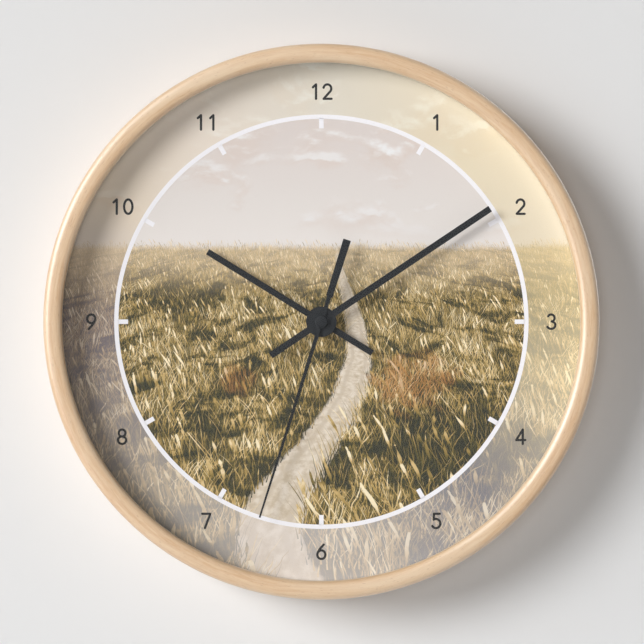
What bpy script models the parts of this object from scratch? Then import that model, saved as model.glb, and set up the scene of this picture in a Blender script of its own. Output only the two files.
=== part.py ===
# A round wall clock: a light wood ring, a clear lens, a printed dial, three bar hands and a
# battery quartz movement. Metres, +Z up, the front towards -Y and the wall at y = 0.
# The origin is where the nail bears in the hanger, and the hands turn about an axis straight
# below it. Outlines are (x, z) pairs seen from the front, about their own piece's axis.

from math import asin, atan2, cos, degrees, hypot, pi, radians, sin, sqrt

import bmesh
import bpy

GAP = 0.0003  # air between neighbouring pieces
WELD = 0.000001  # points nearer than this are one point

# Wood ring and what it holds, seen from the front
RING_RADIUS = 0.127
RING_WALL = 0.0055  # wood beside the lens and the board
LENS_LEDGE = 0.0031  # how far the lip covers the lens
SPACER_WALL = 0.0024

# Sides of what is round, from the ring to the pins
RING_SIDES = 72
DISC_SIDES = 32
TUBE_SIDES = 24
ARBOR_SIDES = 20
SMALL_SIDES = 16
BEARING_SIDES = 12
PIN_SIDES = 10
NUT_SIDES = 6
LIP_STEPS = 8  # across the rounding of the lip
SHARP_ANGLE = 30  # an edge bent more than this is shaded sharp

# Depths, from the lip in front to the wall behind
LIP_ROUND = 0.0043
LIP_EDGE = 0.0007  # flat inner edge behind the rounding
LENS_THICKNESS = 0.0015
LENS_ROOM = 0.0009  # between the lens and the cap of the second hand
CAP_THICKNESS = 0.0006
SECOND_BLADE_THICKNESS = 0.0003
SECOND_BLADE_ROOM = 0.0008  # between the minute and second blades
BLADE_THICKNESS = 0.0004
COLLET_THICKNESS = 0.0007
THREAD_PROUD = 0.0003  # thread in front of the nut
NUT_THICKNESS = 0.0018
WASHER_THICKNESS = 0.0005
PRINT_THICKNESS = 0.0003
BOARD_THICKNESS = 0.0025
RUBBER_THICKNESS = 0.0006
HANGER_THICKNESS = 0.001
FRONT_PLATE = 0.0015
FLANGE_THICKNESS = 0.0006
WHEEL_THICKNESS = 0.0008
WHEEL_SPACING = 0.001  # air between two wheels' planes
BACK_ROOM = 0.0013  # behind the last wheel
BACK_PLATE = 0.0012
KNOB_THICKNESS = 0.002
WALL_ROOM = 0.0008

# Tubes and arbors that run inside each other, from the seconds arbor outwards
PIN_RADIUS = 0.0005
PIN_SEAT = 0.0005  # how deep a pin stands in its bearing hole
ARBOR_WALL = 0.0007
HOUR_TUBE_WALL = 0.00075
BUSHING_WALL = 0.00115
FLANGE_RADIUS = 0.006
NUT_RADIUS = 0.00635  # at its corners
WASHER_RADIUS = 0.0066
RUBBER_RADIUS = 0.009
HOUR_COLLET_RADIUS = 0.0045
MINUTE_COLLET_RADIUS = 0.0035

# Hands: reach, tail and widths from the photograph, angles clockwise from twelve
HUB_RADIUS = 0.007
HOUR_REACH = 0.0612
HOUR_TAIL = 0.0274
HOUR_WIDTH = 0.0027
HOUR_ANGLE = 301.6
MINUTE_REACH = 0.093
MINUTE_TAIL = 0.0279
MINUTE_WIDTH = 0.003
MINUTE_TIP_WIDTH = 0.00265
MINUTE_ANGLE = 56.2
SECOND_REACH = 0.094
SECOND_WIDTH = 0.0013
SECOND_TIP_WIDTH = 0.0006
NECK_WIDTH = 0.0021
NECK_LENGTH = 0.0128
PADDLE_SLOPE = 0.0022  # length over which the neck widens to the paddle
PADDLE_WIDTH = 0.0035
PADDLE_LENGTH = 0.0243
SECOND_ANGLE = 197.5
SECOND_HUB_RADIUS = 0.0026
CAP_RADIUS = 0.0029
CAP_NECK_WALL = 0.0003
CAP_FLOOR = 0.0003  # in front of the blind bore

# Gears: module is pitch diameter over teeth, angles run from +X towards +Z
TRAIN_MODULE = 0.0003
MOTION_MODULE = 0.00045
PINION_TEETH = 8
STEP_TEETH = 32
SECONDS_TEETH = 60
THIRD_TEETH = 60
CENTRE_TEETH = 64
CANNON_TEETH = 10
MINUTE_TEETH = 30
HOUR_TEETH = 32
PINION_OVERLAP = 0.0003  # pinion past each side of the wheel it drives
THIRD_DIRECTION = 60
STEP_DIRECTION = 150
ROTOR_DIRECTION = 110
MINUTE_DIRECTION = -20
KNOB_DIRECTION = 20
# A tooth's height above and below the pitch circle in modules, its width at tip and root
# as a share of the pitch
WHEEL_TOOTH = (0.8, 1.15, 0.20, 0.52)
PINION_TOOTH = (0.75, 1.15, 0.18, 0.50)
KNOB_RADIUS = 0.0055
KNOB_NOTCHES = 24
KNOB_NOTCH_DEPTH = 0.0004

# Movement case, battery and contacts
CASE_WALL = 0.0012
CASE_CORNER = 0.003
ROOM_CORNER = 0.0015
PARTITION = 0.0012  # between the gears and the battery
PARTITION_STEP = 0.0001  # by which the partition thins beside the contact slots
BAY_PLATE = 0.0012
BAY_SLACK = 0.0004
LID_WALL = 0.002
BATTERY_RADIUS = 0.0071
BATTERY_LENGTH = 0.0505
NUB_RADIUS = 0.0027
NUB_LENGTH = 0.0013
CONTACT_ROOM = 0.00155  # from each end of the battery to the case's wall
STRIP_THICKNESS = 0.0004
STRIP_WIDTH = 0.003
LEAF_REACH = 0.005  # leaf below the battery's axis
LEAF_RISE = 0.0037  # leaf above the battery's axis
LEAF_SLOPE = 0.0025
STRIP_OVER_BOARD = 0.004

# Rotor, coil and circuit board
MAGNET_RADIUS = 0.002
MAGNET_LENGTH = 0.0026
MAGNET_AIR = 0.0004
STATOR_THICKNESS = 0.0006
STATOR_RING_WALL = 0.0016
STATOR_BAND_DROP = 0.0005  # lower edge of the band below the rotor's axis
STATOR_BAND_WIDTH = 0.0036
STATOR_TOP_ROOM = 0.0025  # arm above the coil's axis
ARM_WIDTH = 0.003
BOBBIN_RADIUS = 0.004
BOBBIN_LENGTH = 0.018
BOBBIN_FLANGE = 0.0008
BOBBIN_WALL = 0.0005
WINDING_DROP = 0.0004  # winding below the flange's rim
CORE_HEIGHT = 0.002
CORE_THICKNESS = 0.0008
COIL_LIFT = 0.0028
COIL_HEADROOM = 0.0014
POST_RADIUS = 0.0012
CIRCUIT_WIDTH = 0.022
CIRCUIT_HEIGHT = 0.011
CIRCUIT_THICKNESS = 0.001
CIRCUIT_POST_INSET = 0.003
CHIP_RADIUS = 0.0028
CHIP_THICKNESS = 0.0012
CHIP_INSET = 0.0055
CRYSTAL_RADIUS = 0.001
CRYSTAL_LENGTH = 0.006

# Hanger behind the board
HANGER_WIDTH = 0.018
HANGER_TAIL = 0.009
NAIL_HEAD_RADIUS = 0.0035
NAIL_SLOT_RADIUS = 0.00175
NAIL_SLOT_LENGTH = 0.006
HANGER_MARGIN = 0.002
HANGER_TOP_MARGIN = 0.003

# Clips that hold the board in the ring
CLIP_COUNT = 4
CLIP_FIRST_DIRECTION = 45
CLIP_WIDTH = 0.01
CLIP_THICKNESS = 0.001
CLIP_REACH = 0.01
CLIP_HEIGHT = 0.009
SCREW_RADIUS = 0.0011
SCREW_HEAD_RADIUS = 0.0025
SCREW_HEAD_THICKNESS = 0.0014
SCREW_LENGTH = 0.005
SCREW_SLOT_WIDTH = 0.0007
SCREW_SLOT_LENGTH = 0.0028
SCREW_SLOT_DEPTH = 0.0006


def polar(distance, direction):
    angle = radians(direction)
    return (distance * cos(angle), distance * sin(angle))


def moved(point, distance, direction):
    step = polar(distance, direction)
    return (point[0] + step[0], point[1] + step[1])


def opposite(direction):
    return direction + 180


def centre_distance(module, teeth, pinion_teeth):
    return module * (teeth + pinion_teeth) / 2


def wheel_plane(order):
    # Front and back of the wheel in this order, counted from the back of the movement
    back = step_back - order * (WHEEL_THICKNESS + WHEEL_SPACING)
    return (back - WHEEL_THICKNESS, back)


# Derived depths, from the wall to the front
knob_back = -WALL_ROOM
knob_front = knob_back - KNOB_THICKNESS
case_back = knob_front - GAP
back_plate_front = case_back - BACK_PLATE
step_back = back_plate_front - BACK_ROOM
step_plane = wheel_plane(0)
seconds_plane = wheel_plane(1)
third_plane = wheel_plane(2)
centre_plane = wheel_plane(3)
minute_plane = wheel_plane(4)
hour_plane = wheel_plane(5)
flange_back = hour_plane[0] - GAP
flange_front = flange_back - FLANGE_THICKNESS
front_plate_back = flange_front - GAP
case_front = front_plate_back - FRONT_PLATE
hanger_back = case_front - GAP
hanger_front = hanger_back - HANGER_THICKNESS
rubber_back = hanger_front - GAP
rubber_front = rubber_back - RUBBER_THICKNESS
board_back = rubber_front - GAP
board_front = board_back - BOARD_THICKNESS
print_back = board_front - GAP
print_front = print_back - PRINT_THICKNESS
washer_back = print_front - GAP
washer_front = washer_back - WASHER_THICKNESS
nut_back = washer_front - GAP
nut_front = nut_back - NUT_THICKNESS
thread_front = nut_front - THREAD_PROUD
hour_collet_back = thread_front - GAP
hour_collet_front = hour_collet_back - COLLET_THICKNESS
hour_blade_back = hour_collet_front - GAP
hour_blade_front = hour_blade_back - BLADE_THICKNESS
minute_collet_back = hour_blade_front - GAP
minute_collet_front = minute_collet_back - COLLET_THICKNESS
minute_blade_back = minute_collet_front - GAP
minute_blade_front = minute_blade_back - BLADE_THICKNESS
second_blade_back = minute_blade_front - SECOND_BLADE_ROOM
second_blade_front = second_blade_back - SECOND_BLADE_THICKNESS
cap_back = second_blade_front - GAP
cap_front = cap_back - CAP_THICKNESS
lens_back = cap_front - LENS_ROOM
lens_front = lens_back - LENS_THICKNESS
lip_back = lens_front - GAP
lip_middle = lip_back - LIP_EDGE
pin_front = front_plate_back - PIN_SEAT
pin_back = back_plate_front + PIN_SEAT
lid_front = back_plate_front - LID_WALL
shell_back = lid_front - GAP

# Derived radii
rabbet_radius = RING_RADIUS - RING_WALL
opening_radius = rabbet_radius - LENS_LEDGE
insert_radius = rabbet_radius - GAP
bearing_radius = PIN_RADIUS + GAP
arbor_radius = bearing_radius + ARBOR_WALL
hour_bore = arbor_radius + GAP
hour_tube_radius = hour_bore + HOUR_TUBE_WALL
bushing_bore = hour_tube_radius + GAP
thread_radius = bushing_bore + BUSHING_WALL
thread_hole = thread_radius + GAP
cap_neck_radius = bearing_radius + CAP_NECK_WALL

# Derived places of the arbors, about the hands' axis
train_distance = centre_distance(TRAIN_MODULE, THIRD_TEETH, PINION_TEETH)
centre_module = 2 * train_distance / (CENTRE_TEETH + PINION_TEETH)
motion_distance = centre_distance(MOTION_MODULE, MINUTE_TEETH, CANNON_TEETH)
third_place = polar(train_distance, THIRD_DIRECTION)
step_place = polar(centre_distance(TRAIN_MODULE, SECONDS_TEETH, PINION_TEETH), STEP_DIRECTION)
rotor_distance = centre_distance(TRAIN_MODULE, STEP_TEETH, PINION_TEETH)
rotor_place = moved(step_place, rotor_distance, ROTOR_DIRECTION)
minute_place = polar(motion_distance, MINUTE_DIRECTION)
knob_place = moved(minute_place, motion_distance, KNOB_DIRECTION)

# Derived sizes of the case, seen from the front
minute_tip_radius = MOTION_MODULE * (MINUTE_TEETH / 2 + WHEEL_TOOTH[0])
stator_hole = MAGNET_RADIUS + MAGNET_AIR
stator_ring_radius = stator_hole + STATOR_RING_WALL
coil_z = rotor_place[1] + stator_ring_radius + COIL_LIFT + BOBBIN_RADIUS
room_floor = minute_place[1] - minute_tip_radius - GAP
room_top = coil_z + BOBBIN_RADIUS + COIL_HEADROOM
room_half = BATTERY_LENGTH / 2 + CONTACT_ROOM
bay_top = room_floor - PARTITION
bay_bottom = bay_top - 2 * (BATTERY_RADIUS + BAY_SLACK)
case_top = room_top + CASE_WALL
case_bottom = bay_bottom - CASE_WALL
case_half = room_half + CASE_WALL
bay_floor = case_front + BAY_PLATE
battery_y = bay_floor + GAP + BATTERY_RADIUS
battery_z = bay_top - BAY_SLACK - BATTERY_RADIUS
strip_front = battery_y - STRIP_WIDTH / 2
strip_back = battery_y + STRIP_WIDTH / 2
strip_x = room_half - GAP - STRIP_THICKNESS / 2
strip_top = room_top - GAP - STRIP_THICKNESS / 2
leaf_x = BATTERY_LENGTH / 2 + GAP + STRIP_THICKNESS / 2
slot_x = room_half - GAP - STRIP_THICKNESS - GAP

# Derived places of the coil and the circuit board
stator_front = third_plane[1] + GAP
stator_back = stator_front + STATOR_THICKNESS
stator_middle = (stator_front + stator_back) / 2
core_back = stator_front - GAP
core_front = core_back - CORE_THICKNESS
coil_y = (core_front + core_back) / 2
arm_offset = BOBBIN_LENGTH / 2 + GAP + ARM_WIDTH / 2
circuit_right = slot_x
circuit_left = circuit_right - CIRCUIT_WIDTH
circuit_top = strip_top - STRIP_THICKNESS / 2 - GAP
circuit_bottom = circuit_top - CIRCUIT_HEIGHT
circuit_front = stator_front
circuit_back = circuit_front + CIRCUIT_THICKNESS

# Derived places of the hanger
hanger_shelf = case_top + GAP + HANGER_THICKNESS / 2
hanger_plate_front = knob_back - HANGER_THICKNESS
nail_head_z = hanger_shelf + HANGER_THICKNESS / 2 + HANGER_MARGIN + NAIL_HEAD_RADIUS
nail_slot_z = nail_head_z + NAIL_SLOT_LENGTH
nail_drop = nail_slot_z + NAIL_SLOT_RADIUS
hanger_top = nail_drop + HANGER_TOP_MARGIN

# Derived places of the clips: a flat clip in a round rabbet touches at its corners
wall_flat = rabbet_radius * cos(pi / RING_SIDES) - GAP
clip_outside = sqrt(wall_flat**2 - (CLIP_WIDTH / 2) ** 2)
clip_middle = clip_outside - CLIP_THICKNESS / 2
clip_inside = clip_outside - CLIP_THICKNESS
clip_foot_y = board_back + GAP + CLIP_THICKNESS / 2
screw_y = clip_foot_y + CLIP_HEIGHT / 2
screw_hole = SCREW_RADIUS + GAP
screw_tip = clip_inside - GAP + SCREW_LENGTH


def circle(radius, sides, place=(0, 0)):
    steps = [2 * pi * k / sides for k in range(sides)]
    return [(place[0] + radius * cos(a), place[1] + radius * sin(a)) for a in steps]


def box(left, right, bottom, top):
    return [(left, bottom), (right, bottom), (right, top), (left, top)]


def rounded_box(left, right, bottom, top, radius, steps=4):
    points = []
    corners = [(right, top, 0), (left, top, 90), (left, bottom, 180), (right, bottom, 270)]
    for x, z, start in corners:
        centre_x = x - radius if x == right else x + radius
        centre_z = z - radius if z == top else z + radius
        for k in range(steps + 1):
            points.append(moved((centre_x, centre_z), radius, start + 90 * k / steps))
    return points


def gear(teeth, module, direction, tooth):
    # A toothed outline with one tooth's middle at this direction
    above, below, tip, root = tooth
    pitch = 360 / teeth
    tip_radius = module * (teeth / 2 + above)
    root_radius = module * (teeth / 2 - below)
    corners = ((root_radius, -root), (tip_radius, -tip), (tip_radius, tip), (root_radius, root))
    points = []
    for k in range(teeth):
        middle = direction + k * pitch
        points += [polar(radius, middle + side * pitch / 2) for radius, side in corners]
    return points


def wheel(teeth, module, gap_direction):
    # A wheel whose gap between two teeth faces the pinion
    return gear(teeth, module, gap_direction + 180 / teeth, WHEEL_TOOTH)


def pinion(teeth, module, tooth_direction):
    return gear(teeth, module, tooth_direction, PINION_TOOTH)


def hand(upper, lower, hub_radius, steps=10):
    # A flat hand with a round hub: half widths and distances from the axis, above and below
    # it, from the hub outwards. The first half width is the blade's where it leaves the hub
    top = asin(upper[0][0] / hub_radius)
    bottom = pi - asin(lower[0][0] / hub_radius)
    arc = [top + (bottom - top) * k / steps for k in range(steps + 1)]
    right = [(hub_radius * sin(a), hub_radius * cos(a)) for a in arc]
    right += [(half, -distance) for half, distance in lower[1:]]
    right = [(half, distance) for half, distance in reversed(upper[1:])] + right
    return right + [(-x, z) for x, z in reversed(right)]


def ribbon(path, thickness):
    # The outline of a bent strip of even thickness, mitred at its bends
    left = []
    right = []
    for k, point in enumerate(path):
        before = path[max(k - 1, 0)]
        after = path[min(k + 1, len(path) - 1)]
        turns = []
        for start, end in ((before, point), (point, after)):
            if start != end:
                turns.append(atan2(end[1] - start[1], end[0] - start[0]))
        middle = (turns[0] + turns[-1]) / 2
        reach = thickness / 2 / cos((turns[-1] - turns[0]) / 2)
        across = (-sin(middle) * reach, cos(middle) * reach)
        left.append((point[0] + across[0], point[1] + across[1]))
        right.append((point[0] - across[0], point[1] - across[1]))
    return left + right[::-1]


def plus_sign(length, width):
    end = length / 2
    side = width / 2
    arm = [(end, -side), (end, side), (side, side)]
    points = []
    for turn in (0, 90, 180, 270):
        points += [moved((0, 0), hypot(x, z), turn + degrees(atan2(z, x))) for x, z in arm]
    return points


def contains(outline, point):
    inside = False
    for (x0, z0), (x1, z1) in zip(outline, outline[1:] + outline[:1]):
        if (z0 > point[1]) != (z1 > point[1]):
            if point[0] < x0 + (point[1] - z0) * (x1 - x0) / (z1 - z0):
                inside = not inside
    return inside


def nesting(outline, outlines):
    # How many of the other outlines this one lies in
    return sum(contains(other, outline[0]) for other in outlines if other is not outline)


def linear(value):
    # A colour value of 0 to 255 as the shader's linear light
    share = value / 255
    return share / 12.92 if share <= 0.04045 else ((share + 0.055) / 1.055) ** 2.4


def material(name, colour, roughness, metallic=0.0, alpha=1.0):
    made = bpy.data.materials.new(name)
    made.use_nodes = True
    shader = made.node_tree.nodes["Principled BSDF"]
    shader.inputs["Base Color"].default_value = (*[linear(value) for value in colour], 1)
    shader.inputs["Roughness"].default_value = roughness
    shader.inputs["Metallic"].default_value = metallic
    shader.inputs["Alpha"].default_value = alpha
    return made


def place(name, mesh, finish, parent, location=(0, 0, 0), turn=(0, 0, 0)):
    mesh.materials.clear()
    mesh.materials.append(finish)
    mesh.shade_smooth()
    mesh.set_sharp_from_angle(angle=radians(SHARP_ANGLE))
    piece = bpy.data.objects.new(name, mesh)
    piece.location = location
    piece.rotation_euler = [radians(angle) for angle in turn]
    piece.parent = parent
    bpy.context.collection.objects.link(piece)
    return piece


def empty(name, parent=None, turn=(0, 0, 0), location=(0, 0, 0)):
    holder = bpy.data.objects.new(name, None)
    holder.location = location
    holder.rotation_euler = [radians(angle) for angle in turn]
    holder.parent = parent
    bpy.context.collection.objects.link(holder)
    return holder


def layered(name, spans):
    # One closed body along Y. Each span is (front, back, outline); where outlines nest, the
    # second is a hole in the first and the third is solid again
    shape = bmesh.new()
    levels = sorted({level for front, back, outline in spans for level in (front, back)})
    rings = {}

    def ring(outline, y):
        key = (id(outline), y)
        if key not in rings:
            points = [shape.verts.new((x, y, z)) for x, z in outline]
            edges = [shape.edges.new((points[k - 1], points[k])) for k in range(len(points))]
            rings[key] = (points, edges)
        return rings[key]

    def cut_at(index):
        if index < 0 or index >= len(levels) - 1:
            return []
        front, back = levels[index], levels[index + 1]
        return [span[2] for span in spans if span[0] <= front and span[1] >= back]

    for index in range(len(levels) - 1):
        for outline in cut_at(index):
            front = ring(outline, levels[index])[0]
            back = ring(outline, levels[index + 1])[0]
            for k in range(len(front)):
                shape.faces.new((front[k - 1], front[k], back[k], back[k - 1]))
    for index, y in enumerate(levels):
        before = cut_at(index - 1)
        after = cut_at(index)
        ending = [outline for outline in before if not any(outline is other for other in after)]
        starting = [outline for outline in after if not any(outline is other for other in before)]
        changed = ending + starting
        for outer in changed:
            depth = nesting(outer, changed)
            if depth % 2:
                continue
            inner = [outline for outline in changed if nesting(outline, changed) == depth + 1]
            holes = [outline for outline in inner if contains(outer, outline[0])]
            if holes:
                edges = [edge for outline in [outer] + holes for edge in ring(outline, y)[1]]
                bmesh.ops.triangle_fill(shape, edges=edges, use_beauty=True, normal=(0, 1, 0))
            else:
                shape.faces.new(ring(outer, y)[0])
    bmesh.ops.recalc_face_normals(shape, faces=shape.faces[:])
    mesh = bpy.data.meshes.new(name)
    shape.to_mesh(mesh)
    shape.free()
    return mesh


def turned(name, profile, sides):
    # A ring about Y from a closed (radius, y) profile
    shape = bmesh.new()
    points = [shape.verts.new((radius, y, 0)) for radius, y in profile]
    edges = [shape.edges.new((points[k - 1], points[k])) for k in range(len(points))]
    bmesh.ops.spin(
        shape,
        geom=points + edges,
        cent=(0, 0, 0),
        axis=(0, -1, 0),
        angle=2 * pi,
        steps=sides,
        use_duplicate=False,
    )
    bmesh.ops.remove_doubles(shape, verts=shape.verts[:], dist=WELD)
    bmesh.ops.recalc_face_normals(shape, faces=shape.faces[:])
    mesh = bpy.data.meshes.new(name)
    shape.to_mesh(mesh)
    shape.free()
    return mesh


def cut(target, outline, front, back, holder, location=(0, 0, 0), turn=(0, 0, 0)):
    # Takes a straight hole out of a piece, in its holder's frame
    mesh = layered("hole", [(front, back, outline)])
    tool = place("hole", mesh, target.data.materials[0], holder, location, turn)
    modifier = target.modifiers.new("Hole", "BOOLEAN")
    modifier.object = tool
    modifier.solver = "EXACT"
    bpy.context.view_layer.update()
    holed = target.evaluated_get(bpy.context.evaluated_depsgraph_get())
    solid = target.data
    target.data = bpy.data.meshes.new_from_object(holed)
    target.data.name = solid.name
    target.modifiers.clear()
    bpy.data.objects.remove(tool)
    bpy.data.meshes.remove(mesh)
    bpy.data.meshes.remove(solid)


def make_ring(axis, corners):
    wood = material("light wood", (222, 190, 150), 0.45)
    lip_half = (RING_RADIUS - opening_radius) / 2
    profile = [(RING_RADIUS, 0)]
    for k in range(LIP_STEPS + 1):
        angle = pi * k / LIP_STEPS
        profile.append((opening_radius + lip_half * (1 + cos(angle)), lip_middle - LIP_ROUND * sin(angle)))
    profile += [(opening_radius, lip_back), (rabbet_radius, lip_back), (rabbet_radius, 0)]
    ring = place("frame_ring", turned("frame_ring", profile, RING_SIDES), wood, axis)
    hole = circle(screw_hole, PIN_SIDES)
    for corner in corners:
        cut(ring, hole, clip_outside, screw_tip + GAP, corner, (0, screw_y, 0), (90, 0, 0))


def make_dial(axis):
    clear = material("clear acrylic", (240, 244, 244), 0.05, alpha=0.15)
    white = material("white plastic", (236, 234, 228), 0.5)
    paper = material("printed paper", (196, 184, 146), 0.6)
    fibre = material("brown hardboard", (140, 104, 72), 0.8)
    edge = circle(insert_radius, RING_SIDES)
    inner = circle(insert_radius - SPACER_WALL, RING_SIDES)
    hole = circle(thread_hole, TUBE_SIDES)
    lens = layered("lens", [(lens_front, lens_back, edge)])
    place("lens", lens, clear, axis)
    spacer_span = (lens_back + GAP, print_front - GAP)
    spacer = layered("spacer_ring", [(*spacer_span, edge), (*spacer_span, inner)])
    place("spacer_ring", spacer, white, axis)
    for name, front, back, finish in (
        ("dial_print", print_front, print_back, paper),
        ("dial_board", board_front, board_back, fibre),
    ):
        place(name, layered(name, [(front, back, edge), (front, back, hole)]), finish, axis)


def make_clips(corners):
    zinc = material("zinc plated steel", (188, 190, 190), 0.35, 1.0)
    steel = material("bright screw steel", (170, 172, 174), 0.3, 1.0)
    foot = -clip_foot_y
    path = [(foot, clip_outside - CLIP_REACH), (foot, clip_middle), (foot - CLIP_HEIGHT, clip_middle)]
    width = CLIP_WIDTH / 2
    clip_mesh = layered("retaining_clip", [(-width, width, ribbon(path, CLIP_THICKNESS))])
    head_back = clip_inside - GAP
    head_front = head_back - SCREW_HEAD_THICKNESS
    screw_spans = [
        (head_front, head_back, circle(SCREW_HEAD_RADIUS, SMALL_SIDES)),
        (head_back, screw_tip, circle(SCREW_RADIUS, PIN_SIDES)),
        (head_front, head_front + SCREW_SLOT_DEPTH, plus_sign(SCREW_SLOT_LENGTH, SCREW_SLOT_WIDTH)),
    ]
    screw_mesh = layered("clip_screw", screw_spans)
    for number, corner in enumerate(corners, 1):
        clip = place(f"retaining_clip_{number}", clip_mesh, zinc, corner, turn=(0, 0, -90))
        if number == 1:
            hole = circle(screw_hole, BEARING_SIDES)
            cut(clip, hole, clip_inside - GAP, clip_outside + GAP, corner, (0, screw_y, 0), (90, 0, 0))
            clip_mesh = clip.data
        place(f"clip_screw_{number}", screw_mesh, steel, corner, (0, screw_y, 0), (90, 0, 0))


def make_hanger(axis):
    zinc = material("galvanised hanger steel", (176, 178, 178), 0.4, 1.0)
    front = -(hanger_front + hanger_back) / 2
    back = -(hanger_plate_front + knob_back) / 2
    path = [(front, -HANGER_TAIL), (front, hanger_shelf), (back, hanger_shelf), (back, hanger_top)]
    width = HANGER_WIDTH / 2
    mesh = layered("hanger_bracket", [(-width, width, ribbon(path, HANGER_THICKNESS))])
    hanger = place("hanger_bracket", mesh, zinc, axis, turn=(0, 0, -90))
    cut(hanger, circle(thread_hole, TUBE_SIDES), hanger_front - GAP, hanger_back + GAP, axis)
    cut(hanger, keyhole(), hanger_plate_front - GAP, knob_back + GAP, axis)


def keyhole(steps=16):
    # A round hole for the nail's head under a narrow slot for its shank
    meet = degrees(asin(NAIL_SLOT_RADIUS / NAIL_HEAD_RADIUS))
    start = 90 + meet
    sweep = 360 - 2 * meet
    points = [moved((0, nail_head_z), NAIL_HEAD_RADIUS, start + sweep * k / steps) for k in range(steps + 1)]
    half = steps // 2
    points += [moved((0, nail_slot_z), NAIL_SLOT_RADIUS, 180 * k / half) for k in range(half + 1)]
    return points


def make_clamp(axis):
    rubber = material("black rubber", (32, 32, 33), 0.8)
    brass = material("brass", (196, 164, 96), 0.35, 1.0)
    nickel = material("nickel plated nut", (184, 182, 174), 0.3, 1.0)
    hole = circle(thread_hole, TUBE_SIDES)
    rings = (
        ("rubber_washer", rubber_front, rubber_back, circle(RUBBER_RADIUS, DISC_SIDES), rubber),
        ("brass_washer", washer_front, washer_back, circle(WASHER_RADIUS, TUBE_SIDES), brass),
        ("hex_nut", nut_front, nut_back, circle(NUT_RADIUS, NUT_SIDES), nickel),
    )
    for name, front, back, outline, finish in rings:
        place(name, layered(name, [(front, back, outline), (front, back, hole)]), finish, axis)
    bushing_spans = [
        (thread_front, flange_front, circle(thread_radius, TUBE_SIDES)),
        (flange_front, flange_back, circle(FLANGE_RADIUS, TUBE_SIDES)),
        (thread_front, flange_back, circle(bushing_bore, TUBE_SIDES)),
    ]
    place("threaded_bushing", layered("threaded_bushing", bushing_spans), brass, axis)


def make_hands(axis):
    charcoal = material("charcoal enamel", (62, 64, 67), 0.55)
    brass = material("collet brass", (190, 158, 92), 0.4, 1.0)
    hour_half = HOUR_WIDTH / 2
    hour_upper = [(hour_half, 0), (hour_half, HOUR_REACH)]
    hour = hand(hour_upper, [(hour_half, 0), (hour_half, HOUR_TAIL)], HUB_RADIUS)
    minute_half = MINUTE_WIDTH / 2
    minute_upper = [(minute_half, 0), (MINUTE_TIP_WIDTH / 2, MINUTE_REACH)]
    minute = hand(minute_upper, [(minute_half, 0), (minute_half, MINUTE_TAIL)], HUB_RADIUS)
    neck_half = NECK_WIDTH / 2
    paddle_start = NECK_LENGTH + PADDLE_SLOPE
    second_lower = [
        (neck_half, 0),
        (neck_half, NECK_LENGTH),
        (PADDLE_WIDTH / 2, paddle_start),
        (PADDLE_WIDTH / 2, paddle_start + PADDLE_LENGTH),
    ]
    second_upper = [(SECOND_WIDTH / 2, 0), (SECOND_TIP_WIDTH / 2, SECOND_REACH)]
    second = hand(second_upper, second_lower, SECOND_HUB_RADIUS, steps=6)
    hour_hole = hour_tube_radius + GAP
    minute_hole = arbor_radius + GAP
    blades = (
        ("hour_hand", hour_blade_front, hour_blade_back, hour, hour_hole, HOUR_ANGLE),
        ("minute_hand", minute_blade_front, minute_blade_back, minute, minute_hole, MINUTE_ANGLE),
        ("second_hand", second_blade_front, second_blade_back, second, cap_neck_radius + GAP, SECOND_ANGLE),
    )
    for name, front, back, outline, hole_radius, angle in blades:
        spans = [(front, back, outline), (front, back, circle(hole_radius, ARBOR_SIDES))]
        place(name, layered(name, spans), charcoal, axis, turn=(0, angle, 0))
    collets = (
        ("hour_hand_collet", hour_collet_front, hour_collet_back, HOUR_COLLET_RADIUS, hour_hole),
        ("minute_hand_collet", minute_collet_front, minute_collet_back, MINUTE_COLLET_RADIUS, minute_hole),
    )
    for name, front, back, radius, hole_radius in collets:
        spans = [(front, back, circle(radius, TUBE_SIDES)), (front, back, circle(hole_radius, ARBOR_SIDES))]
        place(name, layered(name, spans), brass, axis)
    neck_back = minute_blade_front - GAP
    hub_spans = [
        (cap_front, cap_back, circle(CAP_RADIUS, DISC_SIDES)),
        (cap_back, neck_back, circle(cap_neck_radius, SMALL_SIDES)),
        (cap_front + CAP_FLOOR, neck_back, circle(bearing_radius, BEARING_SIDES)),
    ]
    place("second_hand_hub", layered("second_hand_hub", hub_spans), charcoal, axis)


def arbor_spans(front, pinion_outline, pinion_front, wheel_outline, plane):
    # A pin through the movement that carries a pinion and, behind it, a wheel
    pin = circle(PIN_RADIUS, PIN_SIDES)
    return [
        (front, pinion_front, pin),
        (pinion_front, plane[0], pinion_outline),
        (*plane, wheel_outline),
        (plane[1], pin_back, pin),
    ]


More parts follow.
